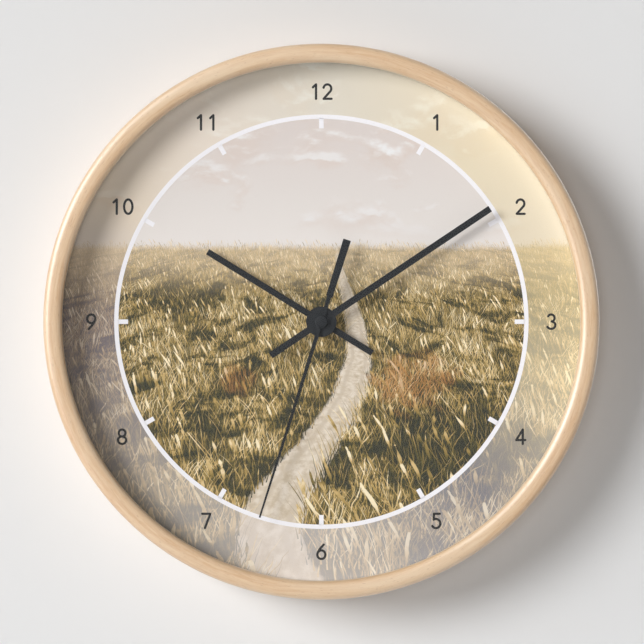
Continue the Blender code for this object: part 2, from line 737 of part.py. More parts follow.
def make_going_train(axis):
    acetal = material("white acetal", (232, 228, 214), 0.4)
    amber = material("amber acetal", (206, 168, 96), 0.4)
    brass = material("arbor brass", (196, 162, 92), 0.3, 1.0)
    dark = material("dark ferrite", (62, 60, 62), 0.45, 0.3)
    seconds = arbor_spans(
        cap_front + CAP_FLOOR + GAP,
        pinion(PINION_TEETH, TRAIN_MODULE, THIRD_DIRECTION),
        third_plane[0] - PINION_OVERLAP,
        wheel(SECONDS_TEETH, TRAIN_MODULE, STEP_DIRECTION),
        seconds_plane,
    )
    place("seconds_wheel", layered("seconds_wheel", seconds), acetal, axis)
    third = arbor_spans(
        pin_front,
        pinion(PINION_TEETH, centre_module, opposite(THIRD_DIRECTION)),
        centre_plane[0] - PINION_OVERLAP,
        wheel(THIRD_TEETH, TRAIN_MODULE, opposite(THIRD_DIRECTION)),
        third_plane,
    )
    place("third_wheel", layered("third_wheel", third), amber, axis, (third_place[0], 0, third_place[1]))
    step = arbor_spans(
        pin_front,
        pinion(PINION_TEETH, TRAIN_MODULE, opposite(STEP_DIRECTION)),
        seconds_plane[0] - PINION_OVERLAP,
        wheel(STEP_TEETH, TRAIN_MODULE, ROTOR_DIRECTION),
        step_plane,
    )
    place("step_wheel", layered("step_wheel", step), acetal, axis, (step_place[0], 0, step_place[1]))
    pin = circle(PIN_RADIUS, PIN_SIDES)
    rotor_front = step_plane[0] - PINION_OVERLAP
    rotor_back = step_plane[1] + PINION_OVERLAP
    rotor = [
        (pin_front, rotor_front, pin),
        (rotor_front, rotor_back, pinion(PINION_TEETH, TRAIN_MODULE, opposite(ROTOR_DIRECTION))),
        (rotor_back, pin_back, pin),
    ]
    rotor_location = (rotor_place[0], 0, rotor_place[1])
    place("rotor_pinion", layered("rotor_pinion", rotor), acetal, axis, rotor_location)
    magnet_span = (stator_middle - MAGNET_LENGTH / 2, stator_middle + MAGNET_LENGTH / 2)
    magnet_bore = circle(bearing_radius, BEARING_SIDES)
    magnet = [(*magnet_span, circle(MAGNET_RADIUS, ARBOR_SIDES)), (*magnet_span, magnet_bore)]
    place("rotor_magnet", layered("rotor_magnet", magnet), dark, axis, rotor_location)
    centre = [
        (*centre_plane, wheel(CENTRE_TEETH, centre_module, THIRD_DIRECTION)),
        (*centre_plane, circle(arbor_radius + GAP, ARBOR_SIDES)),
    ]
    place("centre_wheel", layered("centre_wheel", centre), amber, axis)
    cannon_front = minute_plane[0] - PINION_OVERLAP
    cannon_back = minute_plane[1] + PINION_OVERLAP
    tube = circle(arbor_radius, ARBOR_SIDES)
    arbor = [
        (minute_blade_front, cannon_front, tube),
        (cannon_front, cannon_back, pinion(CANNON_TEETH, MOTION_MODULE, MINUTE_DIRECTION)),
        (cannon_back, centre_plane[1] + GAP, tube),
        (minute_blade_front, centre_plane[1] + GAP, circle(bearing_radius, BEARING_SIDES)),
    ]
    place("centre_arbor", layered("centre_arbor", arbor), brass, axis)


def make_motion_work(axis):
    acetal = material("natural acetal", (222, 216, 198), 0.4)
    black = material("black knob", (34, 34, 36), 0.5)
    post_bore = circle(bearing_radius, BEARING_SIDES)
    facing = opposite(MINUTE_DIRECTION)
    minute = [
        (hour_plane[0] - PINION_OVERLAP, minute_plane[0], pinion(PINION_TEETH, MOTION_MODULE, facing)),
        (*minute_plane, wheel(MINUTE_TEETH, MOTION_MODULE, facing)),
        (hour_plane[0] - PINION_OVERLAP, minute_plane[1], post_bore),
    ]
    minute_location = (minute_place[0], 0, minute_place[1])
    place("minute_wheel", layered("minute_wheel", minute), acetal, axis, minute_location)
    hour = [
        (hour_blade_front, hour_plane[0], circle(hour_tube_radius, TUBE_SIDES)),
        (*hour_plane, wheel(HOUR_TEETH, MOTION_MODULE, MINUTE_DIRECTION)),
        (hour_blade_front, hour_plane[1], circle(hour_bore, ARBOR_SIDES)),
    ]
    place("hour_wheel", layered("hour_wheel", hour), acetal, axis)
    # The knob's pinion is turned on to meet the minute wheel's nearest gap
    pitch = 360 / MINUTE_TEETH
    nearest = facing + pitch * round((KNOB_DIRECTION - facing) / pitch)
    turned_on = (nearest - KNOB_DIRECTION) * MINUTE_TEETH / CANNON_TEETH
    knob_tooth = opposite(KNOB_DIRECTION) - turned_on
    knob_pinion_front = minute_plane[0] - PINION_OVERLAP
    knob_pinion_back = minute_plane[1] + PINION_OVERLAP
    grip_radius = KNOB_RADIUS - KNOB_NOTCH_DEPTH
    grip = []
    for k in range(4 * KNOB_NOTCHES):
        radius = KNOB_RADIUS if k % 4 < 2 else grip_radius
        grip.append(polar(radius, 90 * k / KNOB_NOTCHES))
    knob = [
        (pin_front, knob_pinion_front, circle(PIN_RADIUS, PIN_SIDES)),
        (knob_pinion_front, knob_pinion_back, pinion(CANNON_TEETH, MOTION_MODULE, knob_tooth)),
        (knob_pinion_back, knob_front, circle(arbor_radius, ARBOR_SIDES)),
        (knob_front, knob_back, grip),
    ]
    place("setting_knob", layered("setting_knob", knob), black, axis, (knob_place[0], 0, knob_place[1]))


def make_case(axis):
    plastic = material("black ABS", (30, 30, 32), 0.5)
    outside = rounded_box(-case_half, case_half, case_bottom, case_top, CASE_CORNER)
    room = rounded_box(-room_half, room_half, room_floor, room_top, ROOM_CORNER)
    bay = rounded_box(-room_half, room_half, bay_bottom, bay_top, ROOM_CORNER)
    both = rounded_box(
        -room_half - PARTITION_STEP,
        room_half + PARTITION_STEP,
        bay_bottom - PARTITION_STEP,
        room_top + PARTITION_STEP,
        ROOM_CORNER,
    )
    partition = box(-slot_x, slot_x, bay_top + PARTITION_STEP, room_floor - PARTITION_STEP)
    slots_front = strip_front - GAP
    front_bearing = pin_front - GAP
    spans = [
        (case_front, shell_back, outside),
        (case_front, front_plate_back, circle(thread_hole, TUBE_SIDES)),
        (front_plate_back, slots_front, room),
        (bay_floor, slots_front, bay),
        (slots_front, shell_back, both),
        (slots_front, shell_back, partition),
        (front_plate_back, centre_plane[0] - GAP, circle(PIN_RADIUS, PIN_SIDES, minute_place)),
    ]
    for bearing in (third_place, step_place, rotor_place, knob_place):
        spans.append((front_bearing, front_plate_back, circle(bearing_radius, BEARING_SIDES, bearing)))
    for offset in (-arm_offset, arm_offset):
        post = circle(POST_RADIUS, BEARING_SIDES, (rotor_place[0] + offset, coil_z))
        spans.append((front_plate_back, core_front - GAP, post))
    for x in (circuit_left + CIRCUIT_POST_INSET, circuit_right - CIRCUIT_POST_INSET):
        post = circle(POST_RADIUS, BEARING_SIDES, (x, circuit_top - CIRCUIT_POST_INSET))
        spans.append((front_plate_back, circuit_front - GAP, post))
    place("front_case", layered("front_case", spans), plastic, axis)
    back_bearing = pin_back + GAP
    spans = [
        (lid_front, case_back, outside),
        (lid_front, case_back, bay),
        (lid_front, back_plate_front, room),
        (back_plate_front, case_back, circle(arbor_radius + GAP, ARBOR_SIDES, knob_place)),
    ]
    for bearing in ((0, 0), third_place, step_place, rotor_place):
        spans.append((back_plate_front, back_bearing, circle(bearing_radius, BEARING_SIDES, bearing)))
    place("back_case", layered("back_case", spans), plastic, axis)


def make_battery(axis):
    jacket = material("battery jacket", (60, 66, 72), 0.35, 0.2)
    nickel = material("nickel contact", (196, 194, 186), 0.3, 1.0)
    length = BATTERY_LENGTH / 2
    spans = [
        (-length, length - NUB_LENGTH, circle(BATTERY_RADIUS, DISC_SIDES)),
        (length - NUB_LENGTH, length, circle(NUB_RADIUS, SMALL_SIDES)),
    ]
    # The cell is made along Y and turned on its side, its nub at +X
    place("battery", layered("battery", spans), jacket, axis, (0, battery_y, battery_z), (0, 0, -90))
    leaf = [
        (leaf_x, battery_z - LEAF_REACH),
        (leaf_x, battery_z + LEAF_RISE),
        (strip_x, battery_z + LEAF_RISE + LEAF_SLOPE),
    ]
    positive = leaf + [(strip_x, circuit_top)]
    negative = [(-x, z) for x, z in leaf] + [
        (-strip_x, strip_top - ROOM_CORNER),
        (-strip_x + ROOM_CORNER, strip_top),
        (circuit_left + STRIP_OVER_BOARD, strip_top),
    ]
    for name, path in (("positive_contact", positive), ("negative_contact", negative)):
        mesh = layered(name, [(strip_front, strip_back, ribbon(path, STRIP_THICKNESS))])
        place(name, mesh, nickel, axis)


def make_circuit(axis):
    laminate = material("green circuit laminate", (34, 92, 58), 0.4)
    epoxy = material("black epoxy", (24, 24, 26), 0.35)
    tin = material("crystal can", (198, 198, 196), 0.3, 1.0)
    edge = rounded_box(circuit_left, circuit_right, circuit_bottom, circuit_top, ROOM_CORNER, 2)
    place("circuit_board", layered("circuit_board", [(circuit_front, circuit_back, edge)]), laminate, axis)
    chip_front = circuit_back + GAP
    chip_place = (circuit_left + CHIP_INSET, circuit_top - CHIP_INSET)
    blob = circle(CHIP_RADIUS, SMALL_SIDES, chip_place)
    place("chip", layered("chip", [(chip_front, chip_front + CHIP_THICKNESS, blob)]), epoxy, axis)
    crystal_half = CRYSTAL_LENGTH / 2
    can = layered("crystal", [(-crystal_half, crystal_half, circle(CRYSTAL_RADIUS, SMALL_SIDES))])
    crystal_x = (chip_place[0] + CHIP_RADIUS + circuit_right) / 2
    location = (crystal_x, circuit_back + GAP + CRYSTAL_RADIUS, chip_place[1])
    place("crystal", can, tin, axis, location, (0, 0, -90))


def make_coil(axis):
    nylon = material("natural nylon", (226, 222, 208), 0.5)
    copper = material("copper winding", (176, 92, 48), 0.35, 0.9)
    iron = material("soft iron", (150, 150, 152), 0.4, 1.0)
    rotor_x, rotor_z = rotor_place
    bore_radius = hypot(CORE_HEIGHT, CORE_THICKNESS) / 2 + GAP
    tube_radius = bore_radius + BOBBIN_WALL
    end = BOBBIN_LENGTH / 2
    flange = circle(BOBBIN_RADIUS, TUBE_SIDES)
    spans = [
        (-end, -end + BOBBIN_FLANGE, flange),
        (-end + BOBBIN_FLANGE, end - BOBBIN_FLANGE, circle(tube_radius, ARBOR_SIDES)),
        (end - BOBBIN_FLANGE, end, list(flange)),
        (-end, end, circle(bore_radius, SMALL_SIDES)),
    ]
    location = (rotor_x, coil_y, coil_z)
    place("coil_bobbin", layered("coil_bobbin", spans), nylon, axis, location, (0, 0, -90))
    wound = end - BOBBIN_FLANGE - GAP
    winding = [
        (-wound, wound, circle(BOBBIN_RADIUS - WINDING_DROP, TUBE_SIDES)),
        (-wound, wound, circle(tube_radius + GAP, ARBOR_SIDES)),
    ]
    place("coil_winding", layered("coil_winding", winding), copper, axis, location, (0, 0, -90))
    reach = arm_offset + ARM_WIDTH / 2
    core = box(rotor_x - reach, rotor_x + reach, coil_z - CORE_HEIGHT / 2, coil_z + CORE_HEIGHT / 2)
    place("coil_core", layered("coil_core", [(core_front, core_back, core)]), iron, axis)
    plate = (stator_front, stator_back)
    stator_spans = [(*plate, stator_outline(reach)), (*plate, circle(stator_hole, TUBE_SIDES))]
    place("stator", layered("stator", stator_spans), iron, axis, (rotor_x, 0, rotor_z))


def stator_outline(reach, steps=12):
    # A band with an arm up to each end of the core, widened to a ring round the magnet
    bottom = -STATOR_BAND_DROP
    top = bottom + STATOR_BAND_WIDTH
    arm_top = coil_z - rotor_place[1] + STATOR_TOP_ROOM
    inner = reach - ARM_WIDTH
    radius = stator_ring_radius
    lower_meet = asin(bottom / radius)
    upper_meet = asin(top / radius)
    points = [(reach, bottom), (reach, arm_top), (inner, arm_top), (inner, top)]
    for k in range(steps + 1):
        angle = upper_meet + (pi - 2 * upper_meet) * k / steps
        points.append((radius * cos(angle), radius * sin(angle)))
    points += [(-inner, top), (-inner, arm_top), (-reach, arm_top), (-reach, bottom)]
    for k in range(steps + 1):
        angle = pi - lower_meet + (pi + 2 * lower_meet) * k / steps
        points.append((radius * cos(angle), radius * sin(angle)))
    return points


def main():
    for leftover in list(bpy.data.objects):
        bpy.data.objects.remove(leftover)
    axis = empty("hands_axis", location=(0, 0, -nail_drop))
    directions = [CLIP_FIRST_DIRECTION + 360 * k / CLIP_COUNT for k in range(CLIP_COUNT)]
    corners = [empty("clip_corner", axis, (0, direction, 0)) for direction in directions]
    make_ring(axis, corners)
    make_dial(axis)
    make_clips(corners)
    make_hanger(axis)
    make_clamp(axis)
    make_hands(axis)
    make_going_train(axis)
    make_motion_work(axis)
    make_case(axis)
    make_battery(axis)
    make_circuit(axis)
    make_coil(axis)


main()
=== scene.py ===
import bmesh
import bpy
from functools import partialmethod, reduce
from math import asin, cos, pi, radians, sin, tan
from mathutils import Matrix, Vector


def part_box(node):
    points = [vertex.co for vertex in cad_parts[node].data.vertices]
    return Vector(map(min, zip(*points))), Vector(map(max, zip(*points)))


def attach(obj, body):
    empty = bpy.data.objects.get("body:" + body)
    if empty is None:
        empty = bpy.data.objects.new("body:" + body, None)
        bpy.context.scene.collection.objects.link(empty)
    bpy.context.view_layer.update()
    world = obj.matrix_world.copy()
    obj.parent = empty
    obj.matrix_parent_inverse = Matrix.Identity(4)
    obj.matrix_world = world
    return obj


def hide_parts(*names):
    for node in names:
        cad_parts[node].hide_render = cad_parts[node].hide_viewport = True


# Looks for a round wall clock: wood ring, lens, printed dial, three hands, battery movement.
# Everything is in metres. The dial faces -Y and the wall stands at y = 0.

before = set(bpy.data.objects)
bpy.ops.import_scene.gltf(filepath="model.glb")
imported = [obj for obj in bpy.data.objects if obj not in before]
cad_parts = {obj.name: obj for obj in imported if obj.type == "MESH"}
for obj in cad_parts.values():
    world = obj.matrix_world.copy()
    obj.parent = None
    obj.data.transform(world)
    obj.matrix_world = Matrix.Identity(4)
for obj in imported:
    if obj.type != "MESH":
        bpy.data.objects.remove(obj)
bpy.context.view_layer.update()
print("frame loaded:", len(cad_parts), "nodes")

view = {
    "photoSize": 0.2942,  # width of wall that the picture takes in, at the front of the ring
    "distance": 2.6,
    "aimAside": 0.0003,
    "aimDown": 0.00014,
    "sensor": 36.0,
}
light = {
    # a share of 1 lights the wall to its own colour; offNormal and clock say where a lamp stands
    "key": {"share": 0.465, "spread": 13, "offNormal": 43, "clock": 290, "distance": 14.0},
    "side": {"share": 0.185, "spread": 18, "offNormal": 60, "clock": 290, "distance": 12.0},
    "front": {"share": 0.15, "spread": 8, "offNormal": 3, "clock": 290, "distance": 8.0},
    "back": {"share": 0.50, "spread": 16, "offNormal": 162, "clock": 60, "distance": 4.0},
    "ambient": 0.04,
    "backdrop": (231, 231, 231),
}

ringLow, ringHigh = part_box("frame_ring")
dialX = (ringLow.x + ringHigh.x) / 2
dialZ = (ringLow.z + ringHigh.z) / 2
onAxis = Matrix.Translation((dialX, 0, dialZ))
crestY = ringLow.y
ringRadius = (ringHigh.x - ringLow.x) / 2
fineSides = 288
cornerShare = 0.3  # an eased corner stands in by this share of its ease


class Wire:
    # an output socket; arithmetic on it adds Math nodes
    def __init__(self, graph, socket):
        self.graph = graph
        self.socket = socket


def arithmetic(operation, reflected):
    def act(self, other):
        values = (other, self) if reflected else (self, other)
        return self.graph.math(operation, *values)

    return act


operations = {"add": "ADD", "sub": "SUBTRACT", "mul": "MULTIPLY", "truediv": "DIVIDE"}
for sign, operation in operations.items():
    setattr(Wire, f"__{sign}__", arithmetic(operation, False))
    setattr(Wire, f"__r{sign}__", arithmetic(operation, True))
for sign, operation in {"pow": "POWER", "lt": "LESS_THAN", "gt": "GREATER_THAN"}.items():
    setattr(Wire, f"__{sign}__", arithmetic(operation, False))


def pick(sockets, key):
    # a socket by its number, its identifier or its name
    if isinstance(key, int):
        return sockets[key]
    for socket in sockets:
        if socket.identifier == key:
            return socket
    return sockets[key]


class Graph:
    def __init__(self, tree):
        self.tree = tree

    def node(self, kind, settings=None, values=None, result=0):
        made = self.tree.nodes.new(kind)
        for key, value in (settings or {}).items():
            if key == "stops":
                ramp = made.color_ramp
                while len(ramp.elements) < len(value):
                    ramp.elements.new(0.5)
                for element, (position, colour) in zip(ramp.elements, value):
                    element.position = position
                    element.color = paint(colour)
            else:
                setattr(made, key, value)
        for key, value in (values or {}).items():
            socket = pick(made.inputs, key)
            if isinstance(value, Wire):
                self.tree.links.new(value.socket, socket)
            elif socket.type == "RGBA":
                socket.default_value = paint(value)
            else:
                socket.default_value = value
        if not made.outputs:
            return made
        return Wire(self, pick(made.outputs, result))

    def math(self, operation, *values):
        return self.node("ShaderNodeMath", {"operation": operation}, dict(enumerate(values)))

    absolute = partialmethod(math, "ABSOLUTE")
    higher = partialmethod(math, "MAXIMUM")
    floor = partialmethod(math, "FLOOR")
    sine = partialmethod(math, "SINE")

    def length(self, a, b):
        return self.math("SQRT", a * a + b * b)

    def between(self, value, low, high):
        # 0 below low, 1 above high and a soft step in between; high may be the smaller one
        flip = 1.0 if high > low else 0.0
        ends = {0: value, 1: min(low, high), 2: max(low, high), 3: 1.0 - flip, 4: flip}
        return self.node("ShaderNodeMapRange", {"interpolation_type": "SMOOTHSTEP"}, ends)

    def vector(self, x, y, z):
        return self.node("ShaderNodeCombineXYZ", None, {0: x, 1: y, 2: z})

    def split(self, vector, kind="ShaderNodeSeparateXYZ"):
        parts = self.node(kind, None, {0: vector})
        outputs = parts.socket.node.outputs
        return tuple(Wire(self, outputs[k]) for k in range(3))

    def point(self):
        # the surface's own place in metres, about the dial's axis
        place = self.node("ShaderNodeTexCoord", None, None, "Object")
        values = {"Vector": place, "Location": (-dialX, 0, -dialZ)}
        return self.node("ShaderNodeMapping", {"vector_type": "POINT"}, values)

    def noise(self, vector, scale, detail, roughness=0.5, distortion=0.0):
        values = {"Vector": vector, "Scale": scale, "Detail": detail, "Roughness": roughness}
        values["Distortion"] = distortion
        return self.node("ShaderNodeTexNoise", {"noise_dimensions": "3D"}, values)

    def noiseLine(self, value, detail=1.0):
        values = {"W": value, "Scale": 1.0, "Detail": detail}
        return self.node("ShaderNodeTexNoise", {"noise_dimensions": "1D"}, values)

    def random(self, value):
        # three random numbers for each whole number
        speckle = self.node("ShaderNodeTexWhiteNoise", {"noise_dimensions": "1D"}, {"W": value}, 1)
        return self.split(speckle, "ShaderNodeSeparateColor")

    def ramp(self, value, stops):
        return self.node("ShaderNodeValToRGB", {"stops": stops}, {0: value})

    def mix(self, factor, a, b):
        values = {"Factor_Float": factor, "A_Color": a, "B_Color": b}
        return self.node("ShaderNodeMix", {"data_type": "RGBA"}, values, "Result_Color")

    def bump(self, height, distance, strength):
        values = {"Strength": strength, "Distance": distance, "Height": height}
        return self.node("ShaderNodeBump", None, values)


def linear(value):
    share = value / 255
    return share / 12.92 if share <= 0.04045 else ((share + 0.055) / 1.055) ** 2.4


def paint(colour):
    # colours are written as 0 to 255 on screen
    return (*[linear(value) for value in colour], 1.0)


def cleared(owner):
    # the emptied node tree of a material or a world
    owner.use_nodes = True
    owner.node_tree.nodes.clear()
    return Graph(owner.node_tree)


def material(name, build, **fixed):
    # build(graph) gives colour, roughness and bumps, fixed gives the plain values
    made = bpy.data.materials.new(name)
    g = cleared(made)
    values = dict(zip(("Base Color", "Roughness", "Normal"), build(g)))
    values.update({key.replace("_", " "): value for key, value in fixed.items()})
    shader = g.node("ShaderNodeBsdfPrincipled", None, values)
    g.node("ShaderNodeOutputMaterial", None, {"Surface": shader})
    return made


def lightWood(g):
    wood = {
        "base": (217, 181, 138),
        "pale": (231, 207, 175),
        "late": (204, 161, 113),
        "pore": (174, 127, 82),
        "warp": 3.2,  # how often the growth lines swing round the ring
        # patterns along the ring: size round it, size across it, detail, place
        "broad": (1.6, 170.0, 2.0, 3.0),
        "growth": (4.8, 900.0, 3.0, 9.0),
        "fibre": (26.0, 3600.0, 2.0, 15.0),
        "pores": (60.0, 3000.0, 0.0, 21.0),
    }
    x, y, z = g.split(g.point())
    reach = g.length(x, z)
    along = g.vector(x / reach * wood["warp"], z / reach * wood["warp"], 0.0)
    swing = g.noise(along, 1.0, 2.0, 0.5) - 0.5
    across = reach + swing * 0.0030
    deep = y + swing * 0.0022
    ax, az = x / reach, z / reach

    def streak(turns, fine, detail, offset):
        place = g.vector(ax * turns + offset, az * turns, across * fine)
        values = {"Vector": place, "W": deep * fine, "Scale": 1.0, "Detail": detail}
        values["Roughness"] = 0.55
        return g.node("ShaderNodeTexNoise", {"noise_dimensions": "4D"}, values)

    patterns = ("broad", "growth", "fibre", "pores")
    broad, growth, fibre, pores = (streak(*wood[pattern]) for pattern in patterns)
    pitted = g.between(pores, 0.70, 0.78) * 0.5
    colour = g.mix(g.between(growth, 0.36, 0.66), wood["late"], wood["base"])
    colour = g.mix(g.between(broad, 0.42, 0.72) * 0.6, colour, wood["pale"])
    colour = g.mix(g.between(fibre, 0.35, 0.7) * 0.35, colour, wood["pale"])
    colour = g.mix(pitted, colour, wood["pore"])
    height = growth * 0.4 + fibre * 0.4 - pitted
    # raised fibres spread the gloss across the grain
    return colour, 0.34 + 0.14 * fibre, g.bump(height, 0.0002, 0.6)


def plainPlastic(colour, shade, grain, depth, rough):
    # moulded plastic with a fine spark-eroded skin
    def build(g):
        place = g.point()
        skin = g.noise(place, grain, 2.0, 0.6)
        cloud = g.noise(place, 90.0, 3.0, 0.5)
        tone = g.mix(g.between(cloud, 0.35, 0.7), colour, shade)
        uneven = rough + 0.16 * (skin - 0.5) + 0.08 * (cloud - 0.5)
        return tone, uneven, g.bump(skin, depth, 0.5)

    return build


def brushedMetal(colour, shade, stretch, rough):
    # stretch scales the scratches along x, y and z
    def build(g):
        x, y, z = g.split(g.point())
        lines = g.noise(g.vector(x * stretch[0], y * stretch[1], z * stretch[2]), 1.0, 3.0, 0.6)
        stain = g.noise(g.point(), 160.0, 4.0, 0.6)
        tone = g.mix(g.between(stain, 0.4, 0.75), colour, shade)
        uneven = rough + 0.18 * (lines - 0.4) + 0.12 * (stain - 0.5)
        return tone, uneven, g.bump(lines, 0.00001, 0.6)

    return build


def zincPlate(g):
    # overlapping pale crystals, as on plated steel
    place = g.point()
    crystal = g.node("ShaderNodeTexVoronoi", None, {"Vector": place, "Scale": 420.0}, "Color")
    tone = g.split(crystal)[0]
    dust = g.noise(place, 900.0, 3.0, 0.6)
    colour = g.mix(tone, (186, 189, 191), (166, 169, 173))
    rough = 0.32 + 0.16 * tone + 0.10 * (dust - 0.5)
    return colour, rough, g.bump(dust + tone * 0.4, 0.00001, 0.5)


def charcoalPaint(g):
    # matt spray paint with a faint orange peel
    place = g.point()
    peel = g.noise(place, 1500.0, 1.0, 0.5)
    dust = g.noise(place, 320.0, 4.0, 0.6)
    colour = g.mix(g.between(dust, 0.3, 0.75), (31, 33, 36), (37, 39, 42))
    return colour, 0.56 + 0.12 * (dust - 0.5), g.bump(peel, 0.000008, 0.3)


def hardboard(g):
    # pressed fibre, with the screen's print pressed into every face alike
    x, y, z = g.split(g.point())
    place = g.point()
    fibre = g.noise(g.vector(x * 900.0, y * 300.0, z * 420.0), 1.0, 5.0, 0.65, 0.6)
    speck = g.noise(place, 700.0, 4.0, 0.7)
    cloud = g.noise(place, 28.0, 3.0, 0.5)
    wires = g.sine(x * 3900.0) * g.sine(z * 3900.0)
    colour = g.mix(g.between(fibre, 0.3, 0.7), (118, 84, 56), (150, 112, 78))
    colour = g.mix(g.between(cloud, 0.35, 0.7) * 0.5, colour, (136, 98, 66))
    colour = g.mix(g.between(speck, 0.62, 0.75) * 0.6, colour, (84, 58, 38))
    return colour, 0.72 + 0.2 * (speck - 0.5), g.bump(fibre * 0.6 + wires * 0.35, 0.00012, 0.7)


def ink(colour, shade, rough):
    def build(g):
        grain = g.noise(g.point(), 1500.0, 2.0, 0.5)
        return g.mix(grain, colour, shade), rough + 0.1 * (grain - 0.5)

    return build


picture = {
    "horizon": 33.0,  # mm above the dial's centre
    "top": 118.0,
    "bandStart": 94.0,  # the faded band begins under the white ring
    "skyStops": [
        (0.0, (238, 231, 226)),
        (0.25, (231, 224, 219)),
        (0.6, (224, 214, 209)),
        (1.0, (216, 206, 202)),
    ],
    # each bed of cloud: size, place, where it starts and is full, strength
    "clouds": [(0.016, 14.2, 0.50, 0.60, 1.0), (0.034, 8.4, 0.54, 0.66, 0.7)],
    "cloudLight": (244, 243, 243),
    "cloudShade": (222, 206, 196),
    "hazeTone": (224, 202, 170),
    "soil": (34, 34, 22),
    "openSoil": (84, 74, 44),
    "bladeStops": [
        (0.0, (32, 34, 16)),
        (0.2, (76, 71, 34)),
        (0.4, (130, 110, 54)),
        (0.6, (182, 152, 90)),
        (0.8, (222, 194, 138)),
        (1.0, (254, 238, 202)),
    ],
    "rust": (186, 128, 72),
    # patches: x, z, reach, strength
    "rustPatches": [(42.0, -27.0, 17.0, 0.85), (-39.0, -26.0, 9.0, 0.6)],
    "thickets": [
        (-66.0, 9.0, 15.0, 0.9),
        (57.0, -58.0, 36.0, 1.0),
        (24.0, 10.0, 8.0, 0.8),
        (-52.0, -58.0, 12.0, 0.6),
    ],
    "trackDark": (204, 186, 160),
    "trackLight": (236, 224, 208),
    "trackRut": (182, 162, 136),
    # tint of the faded band, clockwise from its foot; it also holds painted light, lighter at the
    # upper left where the ring's shadow falls on the band, and painted shade, darker at the upper
    # right where light thrown back by the ring's lit inner side falls
    "veilAndPaintedLightStops": [
        (0.0, (244, 236, 233)),
        (0.12, (222, 211, 202)),
        (0.25, (150, 137, 148)),
        (0.33, (230, 206, 168)),
        (0.41, (248, 234, 212)),
        (0.5, (232, 228, 206)),
        (0.62, (240, 222, 168)),
        (0.7, (222, 203, 154)),
        (0.79, (244, 229, 196)),
        (0.88, (176, 173, 182)),
        (1.0, (244, 236, 233)),
    ],
    "fade": 0.50,
    "nearest": 27.8,  # how far in front of the skyline the size of the stalks doubles
    "tall": 0.23,  # height of a stalk, as a share of its distance below that point
    "gap": 0.0165,  # space between stalks of one row, the same way
    "rowStep": 1.071,  # each row's size against the row behind it
    # each set of stalks: lean, space and height against the sizes above, share with seed heads
    "sets": [
        (-0.6, 1.0, 0.85, 0.1),
        (0.1, 0.9, 0.75, 0.1),
        (0.6, 1.0, 0.9, 0.1),
        (-0.25, 0.9, 0.8, 0.1),
        (0.3, 1.9, 1.0, 0.5),
    ],
}


def dialPicture(g):
    # a made-up meadow under a pale sky, drawn in millimetres on the print
    p = picture
    x, z = (place * 1000.0 for place in g.split(g.point())[::2])
    reach = g.length(x, z)

    # sky: soft beds of cloud, bright along their upper edges
    height = (z - p["horizon"]) / (p["top"] - p["horizon"])
    sky = g.ramp(height, p["skyStops"])
    for scale, seed, low, high, strength in p["clouds"]:
        puff = g.noise(g.vector(x * scale, seed, z * scale * 1.7), 1.0, 7.0, 0.52, 0.3)
        above = g.noise(g.vector(x * scale, seed, (z + 3.0) * scale * 1.7), 1.0, 6.0, 0.48, 0.3)
        cover = g.between(puff, low, high) * g.between(z - p["horizon"], 2.0, 20.0) * strength
        sky = g.mix(cover * 0.7, sky, p["cloudShade"])
        sky = g.mix(g.between(puff - above, -0.01, 0.06) * cover, sky, p["cloudLight"])

    # the field under it, which starts in pale haze
    skyline = p["horizon"] + 2.6 * (g.noiseLine(x * 0.022 + 11.3, 2.0) - 0.5)
    fall = skyline - z
    colour = g.mix(g.between(fall, -2.6, 1.2), sky, p["hazeTone"])
    colour = meadow(g, colour, x, z, fall)

    # outside the white ring the same picture is faded towards a tint that also carries painted
    # light and painted shade against the ring's shadow and bounce
    turn = g.math("ARCTAN2", x, z) / (2 * pi) + 0.5
    faded = g.mix(p["fade"], colour, g.ramp(turn, p["veilAndPaintedLightStops"]))
    colour = g.mix(g.between(reach, p["bandStart"], p["bandStart"] + 0.4), colour, faded)
    tooth = g.noise(g.point(), 2400.0, 2.0, 0.5)
    return colour, 0.52 + 0.1 * (tooth - 0.5), g.bump(tooth, 0.00001, 0.3)


def trackMiddle(g, fall):
    # where the pale track lies, and how wide it is, at a distance below the skyline
    return 30.0 * g.sine(fall * 0.034 + 0.4) * (0.12 + fall * 0.0065) + 5.0, 0.5 + fall * 0.125


def patches(g, spots, x, z, edge):
    # soft ragged patches on the field, 1 inside
    covers = []
    for spotX, spotZ, size, strength in spots:
        off = g.length(x - spotX, (z - spotZ) * 1.4) + edge * size
        covers.append(g.between(off, size * 1.3, size * 0.6) * strength)
    return reduce(g.higher, covers)


